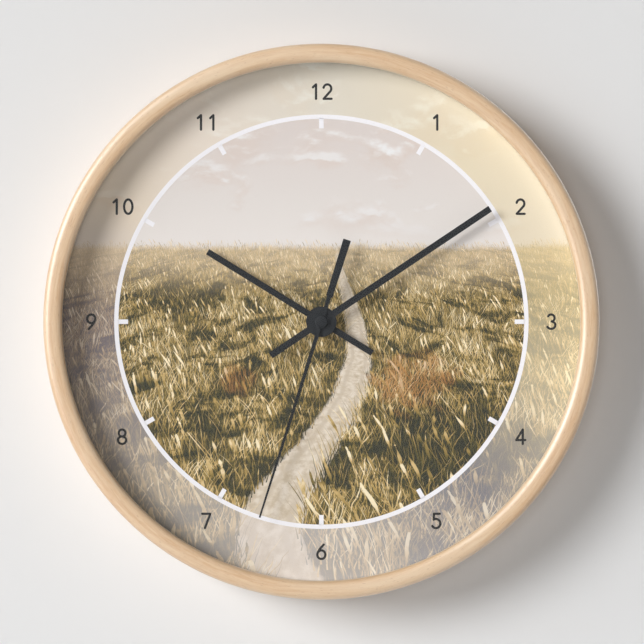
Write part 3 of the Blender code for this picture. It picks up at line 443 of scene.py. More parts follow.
def meadow(g, under, x, z, fall):
    # rows of single stalks drawn from the back to the front; a point meets three rows of each set
    p = picture
    # every noise reads the plain x and z, because the renderer holds few results of one at a time
    flat = g.higher(fall + p["nearest"], 1.0)
    distance = g.math("LOGARITHM", flat, 2.718) * 7.0
    clump = g.noise(g.vector(x / flat * 3.4, 7.0, distance), 1.0, 5.0, 0.62, 0.8)
    grit = g.noise(g.vector(x / flat * 30.0, 6.0, z / flat * 84.0), 1.0, 4.0, 0.6)
    drift = g.noise(g.vector(x * 0.016, 5.0, z * 0.03), 1.0, 2.0)
    ragged = (g.noise(g.vector(x * 0.09, 9.0, z * 0.13), 1.0, 5.0, 0.6) - 0.5) * 2.6
    roll = g.noise(g.vector(x * 0.045, 3.0, z * 0.07), 1.0, 2.0) - 0.5
    rusty = patches(g, p["rustPatches"], x, z, ragged)
    shade = g.higher(g.between(clump, 0.52, 0.36), patches(g, p["thickets"], x, z, ragged))
    fall = fall + roll * g.between(fall, 0.0, 30.0) * 6.0
    x = x + roll * 4.0
    depth = g.higher(fall + p["nearest"], 1.0)
    far = g.between(fall, 24.0, 0.0)

    # ground between the stalks, and the track
    soil = g.mix(shade, p["openSoil"], p["soil"])
    soil = g.mix(far, soil, p["hazeTone"])
    middle, width = trackMiddle(g, fall)
    off = (x - middle) / width
    track = g.mix(g.between(grit, 0.3, 0.68), p["trackDark"], p["trackLight"])
    rut = g.between(g.absolute(g.absolute(off) - 0.48), 0.20, 0.04)
    track = g.mix(rut * g.between(grit, 0.35, 0.6) * 0.4, track, p["trackRut"])
    soil = g.mix(g.between(g.absolute(off) + (grit - 0.5) * 0.5, 1.05, 0.85), soil, track)
    colour = g.mix(g.between(fall, 0.0, 2.5), under, soil)

    rows = [stalkRow(*values) for values in p["sets"]]
    spread = 1.0 / len(rows)
    step = g.math("LOGARITHM", depth / p["nearest"], p["rowStep"])
    tint = clump + (drift - 0.5) * 0.3
    for ahead in range(3):
        for number, tree in enumerate(rows):
            shift = number * spread
            row = g.math("CEIL", step + shift) + (ahead - shift)
            values = {"Under": colour, "X": x, "Depth": depth, "Row": row}
            values.update({"Tint": tint, "Rusty": rusty, "Shade": shade, "Far": far})
            colour = g.node("ShaderNodeGroup", {"node_tree": tree}, values)
    return colour


def stalkRow(lean, space, tall, heads):
    # one row of stalks over what lies under it, as a group that the meadow uses three times
    tree = bpy.data.node_groups.new("stalkRow", "ShaderNodeTree")
    tree.interface.new_socket("Under", in_out="INPUT", socket_type="NodeSocketColor")
    numbers = ("X", "Depth", "Row", "Tint", "Rusty", "Shade", "Far")
    for label in numbers:
        tree.interface.new_socket(label, in_out="INPUT", socket_type="NodeSocketFloat")
    tree.interface.new_socket("Over", in_out="OUTPUT", socket_type="NodeSocketColor")
    g = Graph(tree)
    given = g.node("NodeGroupInput").socket.node.outputs
    under = Wire(g, given[0])
    x, depth, row, tint, rusty, shade, far = (Wire(g, given[label]) for label in numbers)
    p = picture
    size = g.math("POWER", p["rowStep"], row) * p["nearest"]
    gap = size * (space * p["gap"])
    height = size * (tall * p["tall"])
    up = (size - depth) / height
    seed = row * 17.31 + lean * 97.0
    bend = g.noiseLine(x / (gap * 24.0) + seed) * 1.4 - 0.7 + lean
    slot = (x + bend * height * g.higher(up, 0.0) ** 1.5) / gap + seed
    stalk = g.floor(slot)
    one, two, three = g.random(stalk + g.math("FRACT", seed) * 61.7)
    foot = (stalk + 0.5 - seed) * gap
    middle, width = trackMiddle(g, size - p["nearest"])
    offTrack = g.between(g.absolute(foot - middle) / width, 0.72, 1.06)
    along = up / ((0.36 + one * 0.64) * (0.22 + 0.78 * offTrack) * (1.0 - shade * 0.25))
    plume = g.between(g.absolute(along - 0.76), 0.26, 0.02) * (two < heads) * (space * 0.08)
    half = g.higher(1.0 - along, 0.0) ** 0.6 * (0.08 + 0.10 * three) / space + plume
    edge = half - g.absolute(slot - stalk - 0.5 + (two - 0.5) * (0.5 / space))
    inside = g.between(edge * space, -0.03, 0.07) * (up > 0.0) * (along < 1.0)
    inside = inside * (size > p["nearest"]) * (offTrack > 0.08)
    lit = three * 0.78 + tint * 0.9 - 0.52 + along * 0.36
    lit = lit - shade * (0.52 - 0.34 * along) + plume * 1.7
    tone = g.ramp(lit, p["bladeStops"])
    tone = g.mix(rusty * g.between(one, 0.1, 0.7) * 0.8, tone, p["rust"])
    tone = g.mix(far * 0.45, tone, p["hazeTone"])
    g.node("NodeGroupOutput", None, {"Over": g.mix(inside, under, tone)})
    return tree


def clearLens():
    # reflects a little face on and more along the surface, and lets the rest through
    made = bpy.data.materials.new("clearLens")
    g = cleared(made)
    inside = g.node("ShaderNodeNewGeometry", None, None, "Backfacing")
    edge = g.node("ShaderNodeFresnel", None, {"IOR": 1.25}) * (1.0 - inside)
    smear = g.noise(g.point(), 60.0, 3.0, 0.5)
    values = {"Base Color": (235, 240, 240), "Metallic": 1.0, "Roughness": 0.03 + 0.04 * smear}
    gloss = g.node("ShaderNodeBsdfPrincipled", None, values)
    clear = g.node("ShaderNodeBsdfTransparent")
    surface = g.node("ShaderNodeMixShader", None, {0: edge, 1: clear, 2: gloss})
    g.node("ShaderNodeOutputMaterial", None, {"Surface": surface})
    return made


plastics = {
    # colour, shade, size and depth of the skin, roughness
    "whitePlastic": ((238, 236, 230), (230, 228, 222), 1800.0, 0.00002, 0.45),
    "rubber": ((30, 30, 31), (38, 38, 39), 1400.0, 0.00003, 0.78),
    "blackPlastic": ((28, 28, 30), (36, 36, 38), 2200.0, 0.00004, 0.48),
    "acetal": ((234, 230, 216), (222, 217, 200), 900.0, 0.00001, 0.36),
    "amberAcetal": ((208, 170, 98), (192, 150, 80), 900.0, 0.00001, 0.36),
    "ferrite": ((60, 58, 60), (46, 45, 48), 1600.0, 0.00002, 0.42),
    "laminate": ((34, 94, 60), (26, 76, 50), 1200.0, 0.00001, 0.38),
    "epoxy": ((22, 22, 24), (32, 32, 34), 700.0, 0.00002, 0.30),
}
metals = {
    # colour, stain, scratches along x, y and z, roughness
    "screwSteel": ((172, 174, 176), (150, 152, 156), (900.0, 900.0, 900.0), 0.30),
    "brass": ((202, 168, 98), (180, 144, 80), (700.0, 2600.0, 700.0), 0.30),
    "nickel": ((196, 193, 184), (172, 169, 160), (700.0, 2600.0, 700.0), 0.26),
    "copper": ((186, 100, 56), (150, 74, 40), (5200.0, 300.0, 300.0), 0.32),
    "iron": ((150, 150, 152), (124, 124, 128), (300.0, 300.0, 1800.0), 0.42),
}
lacquer = {"Specular_IOR_Level": 1.0, "Coat_Weight": 1.0, "Coat_IOR": 1.9, "Coat_Roughness": 0.5}
finishes = {
    "lightWood": material("lightWood", lightWood, **lacquer),
    "charcoalPaint": material("charcoalPaint", charcoalPaint, Specular_IOR_Level=0.25),
    "zincPlate": material("zincPlate", zincPlate, Metallic=1.0),
    "clearLens": clearLens(),
    "dialPicture": material("dialPicture", dialPicture),
    "hardboard": material("hardboard", hardboard),
    "whiteInk": material("whiteInk", ink((253, 251, 254), (247, 245, 250), 0.55)),
    "blackInk": material("blackInk", ink((10, 10, 12), (20, 20, 22), 0.5)),
}
for name, values in plastics.items():
    finishes[name] = material(name, plainPlastic(*values))
for name, values in metals.items():
    finishes[name] = material(name, brushedMetal(*values), Metallic=1.0)
print("finishes ready:", len(finishes))


def addObject(name, mesh):
    piece = bpy.data.objects.new(name, mesh)
    bpy.context.scene.collection.objects.link(piece)
    return piece


def asObject(name, shape):
    bmesh.ops.recalc_face_normals(shape, faces=shape.faces[:])
    mesh = bpy.data.meshes.new(name)
    shape.to_mesh(mesh)
    shape.free()
    return addObject(name, mesh)


def evaluated(name, piece):
    # what the modifiers of a piece make of it, as a plain mesh
    bpy.context.view_layer.update()
    graph = bpy.context.evaluated_depsgraph_get()
    mesh = bpy.data.meshes.new_from_object(piece.evaluated_get(graph))
    mesh.name = name
    return mesh


def eased(piece, width):
    # rounds the edges of a piece, as a mould, a press or sandpaper leaves them
    modifier = piece.modifiers.new("Eased edges", "BEVEL")
    modifier.width = width
    modifier.segments = 2
    modifier.limit_method = "ANGLE"
    modifier.angle_limit = radians(32)
    modifier.use_clamp_overlap = True
    modifier.miter_outer = "MITER_ARC"
    modifier.harden_normals = True
    piece.data.shade_smooth()
    mesh = evaluated(piece.name, piece)
    piece.modifiers.clear()
    piece.data = mesh
    return piece


def dress(piece, finish, body, slot, *stoodFor, smooth=30):
    # gives a finished piece its material and its body, and hides the nodes it stands for
    piece.data.materials.clear()
    piece.data.materials.append(finishes[finish])
    if smooth:
        piece.data.shade_smooth()
        piece.data.set_sharp_from_angle(angle=radians(smooth))
    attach(piece, body)
    if stoodFor:
        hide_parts(*stoodFor)


def smoothCopy(name, node):
    # a copy of a CAD node whose loose triangles are joined into clean faces
    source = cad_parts[node].data
    shape = bmesh.new()
    points = [shape.verts.new(vertex.co) for vertex in source.vertices]
    for face in source.polygons:
        shape.faces.new([points[index] for index in face.vertices])
    bmesh.ops.remove_doubles(shape, verts=shape.verts[:], dist=0.000002)
    everything = {"verts": shape.verts[:], "edges": shape.edges[:]}
    bmesh.ops.dissolve_limit(shape, angle_limit=radians(1), **everything)
    return asObject(name, shape)


def circle(radius, sides):
    steps = [2 * pi * k / sides for k in range(sides)]
    return [(radius * cos(a), radius * sin(a)) for a in steps]


def lathe(name, profile, sides, place):
    # turns (radius, distance) points about Y; a radius of 0 closes the shape
    shape = bmesh.new()
    rings = []
    for radius, distance in profile:
        spots = circle(radius, sides if radius else 1)
        rings.append([shape.verts.new((x, distance, z)) for x, z in spots])
    for first, second in zip(rings, rings[1:]):
        for k in range(sides):
            turns = ((first, k), (second, k), (second, k + 1), (first, k + 1))
            corners = [ring[turn % len(ring)] for ring, turn in turns]
            shape.faces.new(tuple(dict.fromkeys(corners)))
    bmesh.ops.transform(shape, matrix=place, verts=shape.verts[:])
    return asObject(name, shape)


def plate(name, outline, holes, front, back, place):
    # a flat piece with holes, drawn as (x, z) points and then put in its place
    shape = bmesh.new()
    lines = [[shape.verts.new((x, front, z)) for x, z in line] for line in [outline] + holes]
    sides = [(line[k - 1], line[k]) for line in lines for k in range(len(line))]
    edges = [shape.edges.new(pair) for pair in sides]
    if holes:
        made = bmesh.ops.triangle_fill(shape, edges=edges, use_beauty=True, normal=(0, -1, 0))
        faces = [item for item in made["geom"] if isinstance(item, bmesh.types.BMFace)]
    else:
        faces = [shape.faces.new(lines[0])]
    # back and sides are built face by face, so that every run numbers them alike
    rim = [point for line in lines for point in line]
    behind = {point: shape.verts.new((point.co.x, back, point.co.z)) for point in rim}
    for face in faces:
        shape.faces.new([behind[point] for point in reversed(list(face.verts))])
    for first, second in sides:
        shape.faces.new((first, second, behind[second], behind[first]))
    bmesh.ops.transform(shape, matrix=place, verts=shape.verts[:])
    return asObject(name, shape)


def meshOf(piece):
    # keeps the mesh of a piece and drops the piece
    mesh = piece.data
    bpy.data.objects.remove(piece)
    return mesh


def drawn(name, lines):
    # a curve of straight steps; a line that ends where it began is closed
    drawing = bpy.data.curves.new(name, "CURVE")
    drawing.dimensions = "3D"
    for line in lines:
        (firstX, firstZ), (lastX, lastZ) = line[0], line[-1]
        closed = abs(firstX - lastX) + abs(firstZ - lastZ) < 1e-9
        points = line[:-1] if closed else line
        spline = drawing.splines.new("POLY")
        spline.points.add(len(points) - 1)
        spline.use_cyclic_u = closed
        for point, (x, z) in zip(spline.points, points):
            point.co = (x, 0, z, 1)
    return drawing


def geometryTree(name, **inputs):
    # a tree with a geometry in and out, and these named inputs with their values
    kinds = {float: "NodeSocketFloat", int: "NodeSocketInt", tuple: "NodeSocketVector"}
    tree = bpy.data.node_groups.new(name, "GeometryNodeTree")
    tree.interface.new_socket("Geometry", in_out="INPUT", socket_type="NodeSocketGeometry")
    tree.interface.new_socket("Geometry", in_out="OUTPUT", socket_type="NodeSocketGeometry")
    for label, value in inputs.items():
        socket = tree.interface.new_socket(label, in_out="INPUT", socket_type=kinds[type(value)])
        socket.default_value = value
    tree.interface.new_socket("Finish", in_out="INPUT", socket_type="NodeSocketMaterial")
    g = Graph(tree)
    source = g.node("NodeGroupInput")
    given = {output.name: Wire(g, output) for output in source.socket.node.outputs if output.name}
    return g, given


def closeTree(g, geometry, given):
    real = g.node("GeometryNodeRealizeInstances", None, {"Geometry": geometry})
    done = g.node("GeometryNodeSetMaterial", None, {"Geometry": real, "Material": given["Finish"]})
    g.node("NodeGroupOutput", None, {0: done})
    return g.tree


def grown(name, seed, tree, **values):
    # runs a tree over a seed mesh or curve and keeps the result as a plain mesh
    holder = addObject(name + "Seed", seed)
    modifier = holder.modifiers.new("Nodes", "NODES")
    modifier.node_group = tree
    for item in tree.interface.items_tree:
        if item.item_type == "SOCKET" and item.in_out == "INPUT" and item.name in values:
            modifier[item.identifier] = values[item.name]
    mesh = evaluated(name, holder)
    bpy.data.objects.remove(holder)
    return addObject(name, mesh)


def sweepTree():
    # carries a profile of (distance from Radius, y) round the dial's axis
    g, given = geometryTree("sweepRoundTheDial", Radius=0.1, Sides=96, Centre=(0.0, 0.0, 0.0))
    values = {"Radius": given["Radius"], "Resolution": given["Sides"]}
    path = g.node("GeometryNodeCurvePrimitiveCircle", None, values)
    profile = g.node("GeometryNodeMeshToCurve", None, {"Mesh": given["Geometry"]})
    skin = g.node("GeometryNodeCurveToMesh", None, {"Curve": path, "Profile Curve": profile})
    values = {"Geometry": skin, "Translation": given["Centre"], "Rotation": (pi / 2, 0, 0)}
    stood = g.node("GeometryNodeTransform", None, values)
    return closeTree(g, stood, given)


def spreadTree():
    # repeats a small shape round the dial's axis, the first at Start degrees clockwise from twelve
    g, given = geometryTree("spreadRoundTheDial", Count=12, Start=0.0, Centre=(0.0, 0.0, 0.0))
    spots = g.node("GeometryNodePoints", None, {"Count": given["Count"]})
    index = g.node("GeometryNodeInputIndex")
    turn = (index * (2 * pi)) / given["Count"] + given["Start"] * (pi / 180)
    values = {"Points": spots, "Instance": given["Geometry"], "Rotation": g.vector(0.0, turn, 0.0)}
    placed = g.node("GeometryNodeInstanceOnPoints", None, values)
    values = {"Geometry": placed, "Translation": given["Centre"]}
    moved = g.node("GeometryNodeTransform", None, values)
    return closeTree(g, moved, given)


def strokeTree():
    # gives a drawn line a round pen and then presses it flat against the print
    g, given = geometryTree("inkStroke", Pen=0.0004, Thickness=0.00002, Surface=0.0)
    radius = given["Pen"]
    pen = g.node("GeometryNodeCurvePrimitiveCircle", None, {"Resolution": 12, "Radius": radius})
    values = {"Curve": given["Geometry"], "Profile Curve": pen, "Fill Caps": True}
    line = g.node("GeometryNodeCurveToMesh", None, values)
    values = {"Segments": 16, "Rings": 8, "Radius": radius}
    ball = g.node("GeometryNodeMeshUVSphere", None, values)
    dots = g.node("GeometryNodeCurveToPoints", {"mode": "EVALUATED"}, {"Curve": given["Geometry"]})
    knots = g.node("GeometryNodeInstanceOnPoints", None, {"Points": dots, "Instance": ball})
    both = g.tree.nodes.new("GeometryNodeJoinGeometry")
    for part in (knots, line):
        g.tree.links.new(part.socket, both.inputs[0])
    real = g.node("GeometryNodeRealizeInstances", None, {"Geometry": Wire(g, both.outputs[0])})
    x, y, z = g.split(g.node("GeometryNodeInputPosition"))
    flat = g.vector(x, given["Surface"] + (y / radius) * given["Thickness"], z)
    pressed = g.node("GeometryNodeSetPosition", None, {"Geometry": real, "Position": flat})
    return closeTree(g, pressed, given)


def knurlTree():
    # cuts evenly spaced rounded notches into the rim of a turned piece and sets it in place
    inputs = {"Notches": 24, "Depth": 0.0004, "Inner": 0.004, "Centre": (0.0, 0.0, 0.0)}
    g, given = geometryTree("knurledRim", **inputs)
    x, y, z = g.split(g.node("GeometryNodeInputPosition"))
    reach = g.length(x, z)
    wave = g.math("COSINE", g.math("ARCTAN2", z, x) * given["Notches"])
    rim = g.between(reach - given["Inner"], 0.0, 0.0006)
    share = 1.0 - g.between(wave, -0.1, 0.8) * given["Depth"] * rim / g.higher(reach, 0.0001)
    values = {"Geometry": given["Geometry"], "Position": g.vector(x * share, y, z * share)}
    cut = g.node("GeometryNodeSetPosition", None, values)
    moved = g.node("GeometryNodeTransform", None, {"Geometry": cut, "Translation": given["Centre"]})
    return closeTree(g, moved, given)


sweepRound = sweepTree()
spreadRound = spreadTree()
inkStroke = strokeTree()
knurled = knurlTree()


def swept(name, profile, radius, finish):
    # profile is a closed loop of (radius, y), seen with the radius to the right and the wall up
    mesh = bpy.data.meshes.new(name)
    points = [(r - radius, y, 0) for r, y in profile]
    mesh.from_pydata(points, [(k, (k + 1) % len(points)) for k in range(len(points))], [])
    values = {"Radius": radius, "Sides": fineSides, "Centre": (dialX, 0, dialZ)}
    return grown(name, mesh, sweepRound, Finish=finishes[finish], **values)


def softSquare(inner, outer, front, back, ease):
    # a rectangular section whose corners are broken
    return [
        (inner, front + ease),
        (inner + ease, front),
        (outer - ease, front),
        (outer, front + ease),
        (outer, back - ease),
        (outer - ease, back),
        (inner + ease, back),
        (inner, back - ease),
    ]


woodRing = {
    "opening": 0.1184,
    "rabbet": 0.1215,
    "lipRound": 0.0043,
    "lipEdge": 0.0007,
    "lipFlat": 3.1,  # 2 is a plain ellipse, more is flatter on top
    "lipSteps": 32,
    "backEase": 0.0006,
}


def makeWoodRing():
    w = woodRing
    middle = crestY + w["lipRound"]
    ledge = middle + w["lipEdge"]
    half = (ringRadius - w["opening"]) / 2
    profile = []
    for k in range(w["lipSteps"] + 1):
        angle = pi + pi * k / w["lipSteps"]
        across = abs(cos(angle)) ** (2 / w["lipFlat"]) * (1 if cos(angle) > 0 else -1)
        rise = abs(sin(angle)) ** (2 / w["lipFlat"])
        profile.append((w["opening"] + half * (1 + across), middle - w["lipRound"] * rise))
    ease = w["backEase"]
    profile += [
        (ringRadius, -ease),
        (ringRadius - ease * cornerShare, -ease * cornerShare),
        (ringRadius - ease, 0),
        (w["rabbet"] + ease, 0),
        (w["rabbet"], -ease),
        (w["rabbet"], ledge),
        (w["opening"], ledge),
    ]
    ring = swept("wood_ring", profile, w["opening"], "lightWood")
    dress(ring, "lightWood", "clock", "light_wood", "frame_ring", smooth=40)


makeWoodRing()


dialStack = {
    "outer": 0.1212,
    "lensEase": 0.00015,
    # node, piece, inner radius, eased edge, finish, slot
    "rings": (
        ("spacer_ring", "spacer_band", 0.1188, 0.0002, "whitePlastic", "white_plastic"),
        ("dial_print", "picture_sheet", 0.0043, 0.00004, "dialPicture", "printed_paper"),
        ("dial_board", "backing_board", 0.0043, 0.0003, "hardboard", "hardboard"),
    ),
}


def makeDialStack():
    outer = dialStack["outer"]
    ease = dialStack["lensEase"]
    low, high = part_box("lens")
    profile = [(0, low.y), (outer - ease, low.y), (outer, low.y + ease)]
    profile += [(outer, high.y - ease), (outer - ease, high.y), (0, high.y)]
    lens = lathe("lens_disc", profile, fineSides, onAxis)
    dress(lens, "clearLens", "clock", "clear_acrylic", "lens")
    for node, name, inner, ease, finish, slot in dialStack["rings"]:
        low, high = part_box(node)
        profile = softSquare(inner, outer, low.y, high.y, ease)
        dress(swept(name, profile, inner, finish), finish, "clock", slot, node)


makeDialStack()
print("ring, lens and dial made")


dialMarks = {
    "ringInner": 0.0931,
    "ringOuter": 0.0951,
    "tickFrom": 0.0887,
    "tickWidth": 0.0021,
    "tickOverlap": 0.0002,  # how far a tick runs under the ring
    "thickness": 0.00003,
    "numeralReach": 0.1056,
    "numeralHeight": 0.0066,
    "numeralPen": 0.00054,
    "numeralWidth": 0.60,  # of the height
    "numeralSpace": 0.26,
}
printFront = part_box("dial_print")[0].y


def makeDialMarks():
    d = dialMarks
    inner, outer = d["ringInner"], d["ringOuter"]
    front = printFront - d["thickness"]
    profile = [(inner, front), (outer, front), (outer, printFront), (inner, printFront)]
    band = swept("white_ring", profile, inner, "whiteInk")
    dress(band, "whiteInk", "clock", "printed_paper")
    half = d["tickWidth"] / 2
    foot = inner + d["tickOverlap"]
    outline = [(-half, d["tickFrom"]), (half, d["tickFrom"]), (half, foot), (-half, foot)]
    seed = meshOf(plate("tickSeed", outline, [], front, printFront, Matrix.Identity(4)))
    values = {"Count": 12, "Start": 0.0, "Centre": (dialX, 0, dialZ)}
    ticks = grown("hour_ticks", seed, spreadRound, Finish=finishes["whiteInk"], **values)
    dress(ticks, "whiteInk", "clock", "printed_paper")


def arc(x, z, wide, tall, start, end, steps=14):
    angles = [radians(start + (end - start) * k / steps) for k in range(steps + 1)]
    return [(x + wide * cos(a), z + tall * sin(a)) for a in angles]


def digitStrokes():
    # pen lines of the ten digits in a box 0.6 wide and 1 high; a line ends at each sharp corner
    fiveBowl = arc(0.27, 0.32, 0.30, 0.32, 122, -148)
    sixBack = [(0.47, 1.0), (0.28, 0.80), (0.12, 0.58), (0.03, 0.38)]
    six = [arc(0.30, 0.30, 0.28, 0.30, 0, 360, 24), sixBack]
    return {
        "0": [arc(0.30, 0.50, 0.29, 0.50, 0, 360, 28)],
        "1": [[(0.14, 0.80), (0.36, 1.0)], [(0.36, 1.0), (0.36, 0.0)]],
        "2": [arc(0.29, 0.71, 0.27, 0.29, 168, -38) + [(0.03, 0.0)], [(0.03, 0.0), (0.58, 0.0)]],
        "3": [arc(0.28, 0.755, 0.245, 0.245, 150, -80), arc(0.28, 0.26, 0.29, 0.26, 82, -152)],
        "4": [[(0.62, 0.27), (0.0, 0.27)], [(0.0, 0.27), (0.45, 1.0)], [(0.45, 1.0), (0.45, 0.0)]],
        "5": [[(0.53, 1.0), (0.13, 1.0)], [(0.13, 1.0), (0.11, 0.59)], fiveBowl],
        "6": six,
        "7": [[(0.02, 1.0), (0.58, 1.0)], [(0.58, 1.0), (0.20, 0.0)]],
        "8": [arc(0.30, 0.755, 0.235, 0.245, 0, 360, 22), arc(0.30, 0.26, 0.285, 0.26, 0, 360, 24)],
        "9": [[(0.6 - x, 1.0 - z) for x, z in line] for line in six],
    }


def makeNumerals():
    d = dialMarks
    strokes = digitStrokes()
    tall = d["numeralHeight"]
    step = (d["numeralWidth"] + d["numeralSpace"]) * tall
    lines = []
    for hour in range(1, 13):
        digits = str(hour)
        angle = 2 * pi * hour / 12
        wide = step * (len(digits) - 1) + d["numeralWidth"] * tall
        foot = dialZ + d["numeralReach"] * cos(angle) - tall / 2
        for place, digit in enumerate(digits):
            left = dialX + d["numeralReach"] * sin(angle) - wide / 2 + place * step
            for line in strokes[digit]:
                lines.append([(left + x * tall, foot + z * tall) for x, z in line])
    values = {"Pen": d["numeralPen"], "Thickness": d["thickness"], "Surface": printFront}
    drawing = drawn("numerals", lines)
    numerals = grown("hour_numerals", drawing, inkStroke, Finish=finishes["blackInk"], **values)
    dress(numerals, "blackInk", "clock", "printed_paper")


makeDialMarks()
makeNumerals()
print("dial marks made")


hands = {
    # upper and lower are the outline above and below the axis: half widths and distances from it
    "hour": {
        "body": "hours",
        "turn": 301.6,
        "hub": 0.007,
        "hole": 0.0026,
        "upper": [(0.001425, 0), (0.001425, 0.0612)],
        "lower": [(0.001425, 0), (0.001425, 0.0274)],
    },
    "minute": {
        "body": "minutes",
        "turn": 56.2,
        "hub": 0.007,
        "hole": 0.0018,
        "upper": [(0.00155, 0), (0.0015, 0.093)],
        "lower": [(0.00155, 0), (0.00155, 0.0279)],
    },
    "second": {
        "body": "seconds",
        "turn": 197.5,
        "hub": 0.0026,
        "hole": 0.0014,
        "upper": [(0.000925, 0), (0.0004, 0.094)],
        "lower": [(0.00105, 0), (0.000903, 0.0114), (0.00155, 0.0123), (0.0018, 0.0393)],
    },
}
handHubSteps = 40
handEdge = 0.00008


def handOutline(upper, lower, hub):
    # the parts above and below the axis are joined by the hub's two arcs
    top = asin(upper[0][0] / hub)
    bottom = pi - asin(lower[0][0] / hub)
    arcs = [top + (bottom - top) * k / handHubSteps for k in range(handHubSteps + 1)]
    right = [(hub * sin(a), hub * cos(a)) for a in arcs]
    right = [(half, reach) for half, reach in reversed(upper[1:])] + right
    right += [(half, -reach) for half, reach in lower[1:]]
    return right + [(-x, z) for x, z in reversed(right)]


def makeHands():
    for name, hand in hands.items():
        node = name + "_hand"
        low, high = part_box(node)
        outline = handOutline(hand["upper"], hand["lower"], hand["hub"])
        place = onAxis @ Matrix.Rotation(radians(hand["turn"]), 4, "Y")
        blade = plate(name + "_blade", outline, [circle(hand["hole"], 32)], low.y, high.y, place)
        eased(blade, handEdge)
        dress(blade, "charcoalPaint", hand["body"], "charcoal_enamel", node, smooth=0)


makeHands()


hubCap = {
    "radius": 0.0029,
    "thickness": 0.0006,
    "dome": 0.00045,  # width of the rounded edge
    "domeRise": 0.0003,
    "domeSteps": 8,
    "crown": 0.00002,  # by which the middle stands proud
    "rim": 0.0001,
    "tube": 0.0011,
    "bore": 0.0008,
    "floor": 0.0003,
}


def makeHubCap():
    # the pressed cap of the second hand: a low dome with a rolled edge, on its tube
    c = hubCap
    low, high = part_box("second_hand_hub")
    back = low.y + c["thickness"]
    profile = [(0, low.y)]
    for k in range(1, c["domeSteps"] + 1):
        angle = pi / 2 * k / c["domeSteps"]
        across = c["radius"] - c["dome"] + c["dome"] * sin(angle)
        profile.append((across, low.y + c["domeRise"] * (1 - cos(angle)) + c["crown"]))
    profile += [(c["radius"], back - c["rim"]), (c["radius"] - c["rim"], back), (c["tube"], back)]
    floor = low.y + c["floor"]
    profile += [(c["tube"], high.y), (c["bore"], high.y), (c["bore"], floor), (0, floor)]
    cap = lathe("second_cap", profile, 64, onAxis)
    dress(cap, "charcoalPaint", "seconds", "charcoal_enamel", "second_hand_hub", smooth=38)


makeHubCap()
print("hands made")


fittings = {
    # node: piece, eased edge, finish, slot
    "hanger_bracket": ("hanger_plate", 0.00012, "zincPlate", "zinc_steel"),
    "rubber_washer": ("seal_washer", 0.00012, "rubber", "black_rubber"),
    "brass_washer": ("clamp_washer", 0.0001, "brass", "brass"),
    "hex_nut": ("clamp_nut", 0.0002, "nickel", "nickel"),
    "threaded_bushing": ("bushing_tube", 0.0001, "brass", "brass"),
    "front_case": ("case_front_half", 0.00025, "blackPlastic", "black_plastic"),
    "back_case": ("case_back_half", 0.00025, "blackPlastic", "black_plastic"),
}
for number in range(1, 5):
    clip = (f"board_clip_{number}", 0.00015, "zincPlate", "zinc_steel")
    fittings[f"retaining_clip_{number}"] = clip


def makeFittings():
    for node, (name, ease, finish, slot) in fittings.items():
        dress(eased(smoothCopy(name, node), ease), finish, "clock", slot, node, smooth=0)


makeFittings()
print("fittings made")


cell = {
    "ease": 0.0006,
    "easeSteps": 4,
    "crimp": 0.0055,  # radius of the bare metal at both ends
    "lap": 0.0002,  # by which the sleeve is set back at its crimps
    "fold": 0.0006,  # where the sleeve's end is folded over, and where its wall begins
    "wallFrom": 0.0009,
    "jacket": 0.0004,  # wall of the sleeve
    "air": 0.00005,  # between the sleeve and the can
    # the can's flat end and its shoulder, as radius and distance inwards
    "flat": [(0, 0.0001), (0.0040, 0.0001), (0.0044, 0.0005)],
    "shoulder": [(0.0042, 0.0005), (0.0030, 0.0004), (0.0027, 0.0001)],
    "canFrom": 0.0007,
    "nub": 0.0027,
    "nubEase": 0.0003,
    "nubLength": 0.0013,
    "body": (36, 38, 42),
    "band": (190, 122, 66),
    "lines": (212, 214, 216),
    "grime": (92, 88, 84),
    "bandFrom": 0.012,  # where the second colour starts, in metres from the axis
    "bandLine": 0.0108,
    "footLine": -0.0205,
}


def cellJacket(g):
    # a shrunk printed sleeve: two colours, two fine lines and no words
    x, y, z = g.split(g.point())
    gloss = g.noise(g.vector(x * 220.0, y * 500.0, z * 500.0), 1.0, 3.0, 0.5)
    grime = g.noise(g.point(), 130.0, 4.0, 0.6)
    line = g.between(g.absolute(x - cell["bandLine"]), 0.00035, 0.00028)
    line = g.higher(line, g.between(g.absolute(x - cell["footLine"]), 0.0006, 0.00053))
    colour = g.mix(g.between(x - cell["bandFrom"], -0.00004, 0.00004), cell["body"], cell["band"])
    colour = g.mix(line, colour, cell["lines"])
    colour = g.mix(g.between(grime, 0.45, 0.8) * 0.25, colour, cell["grime"])
    return colour, 0.24 + 0.12 * grime, g.bump(gloss, 0.00002, 0.4)


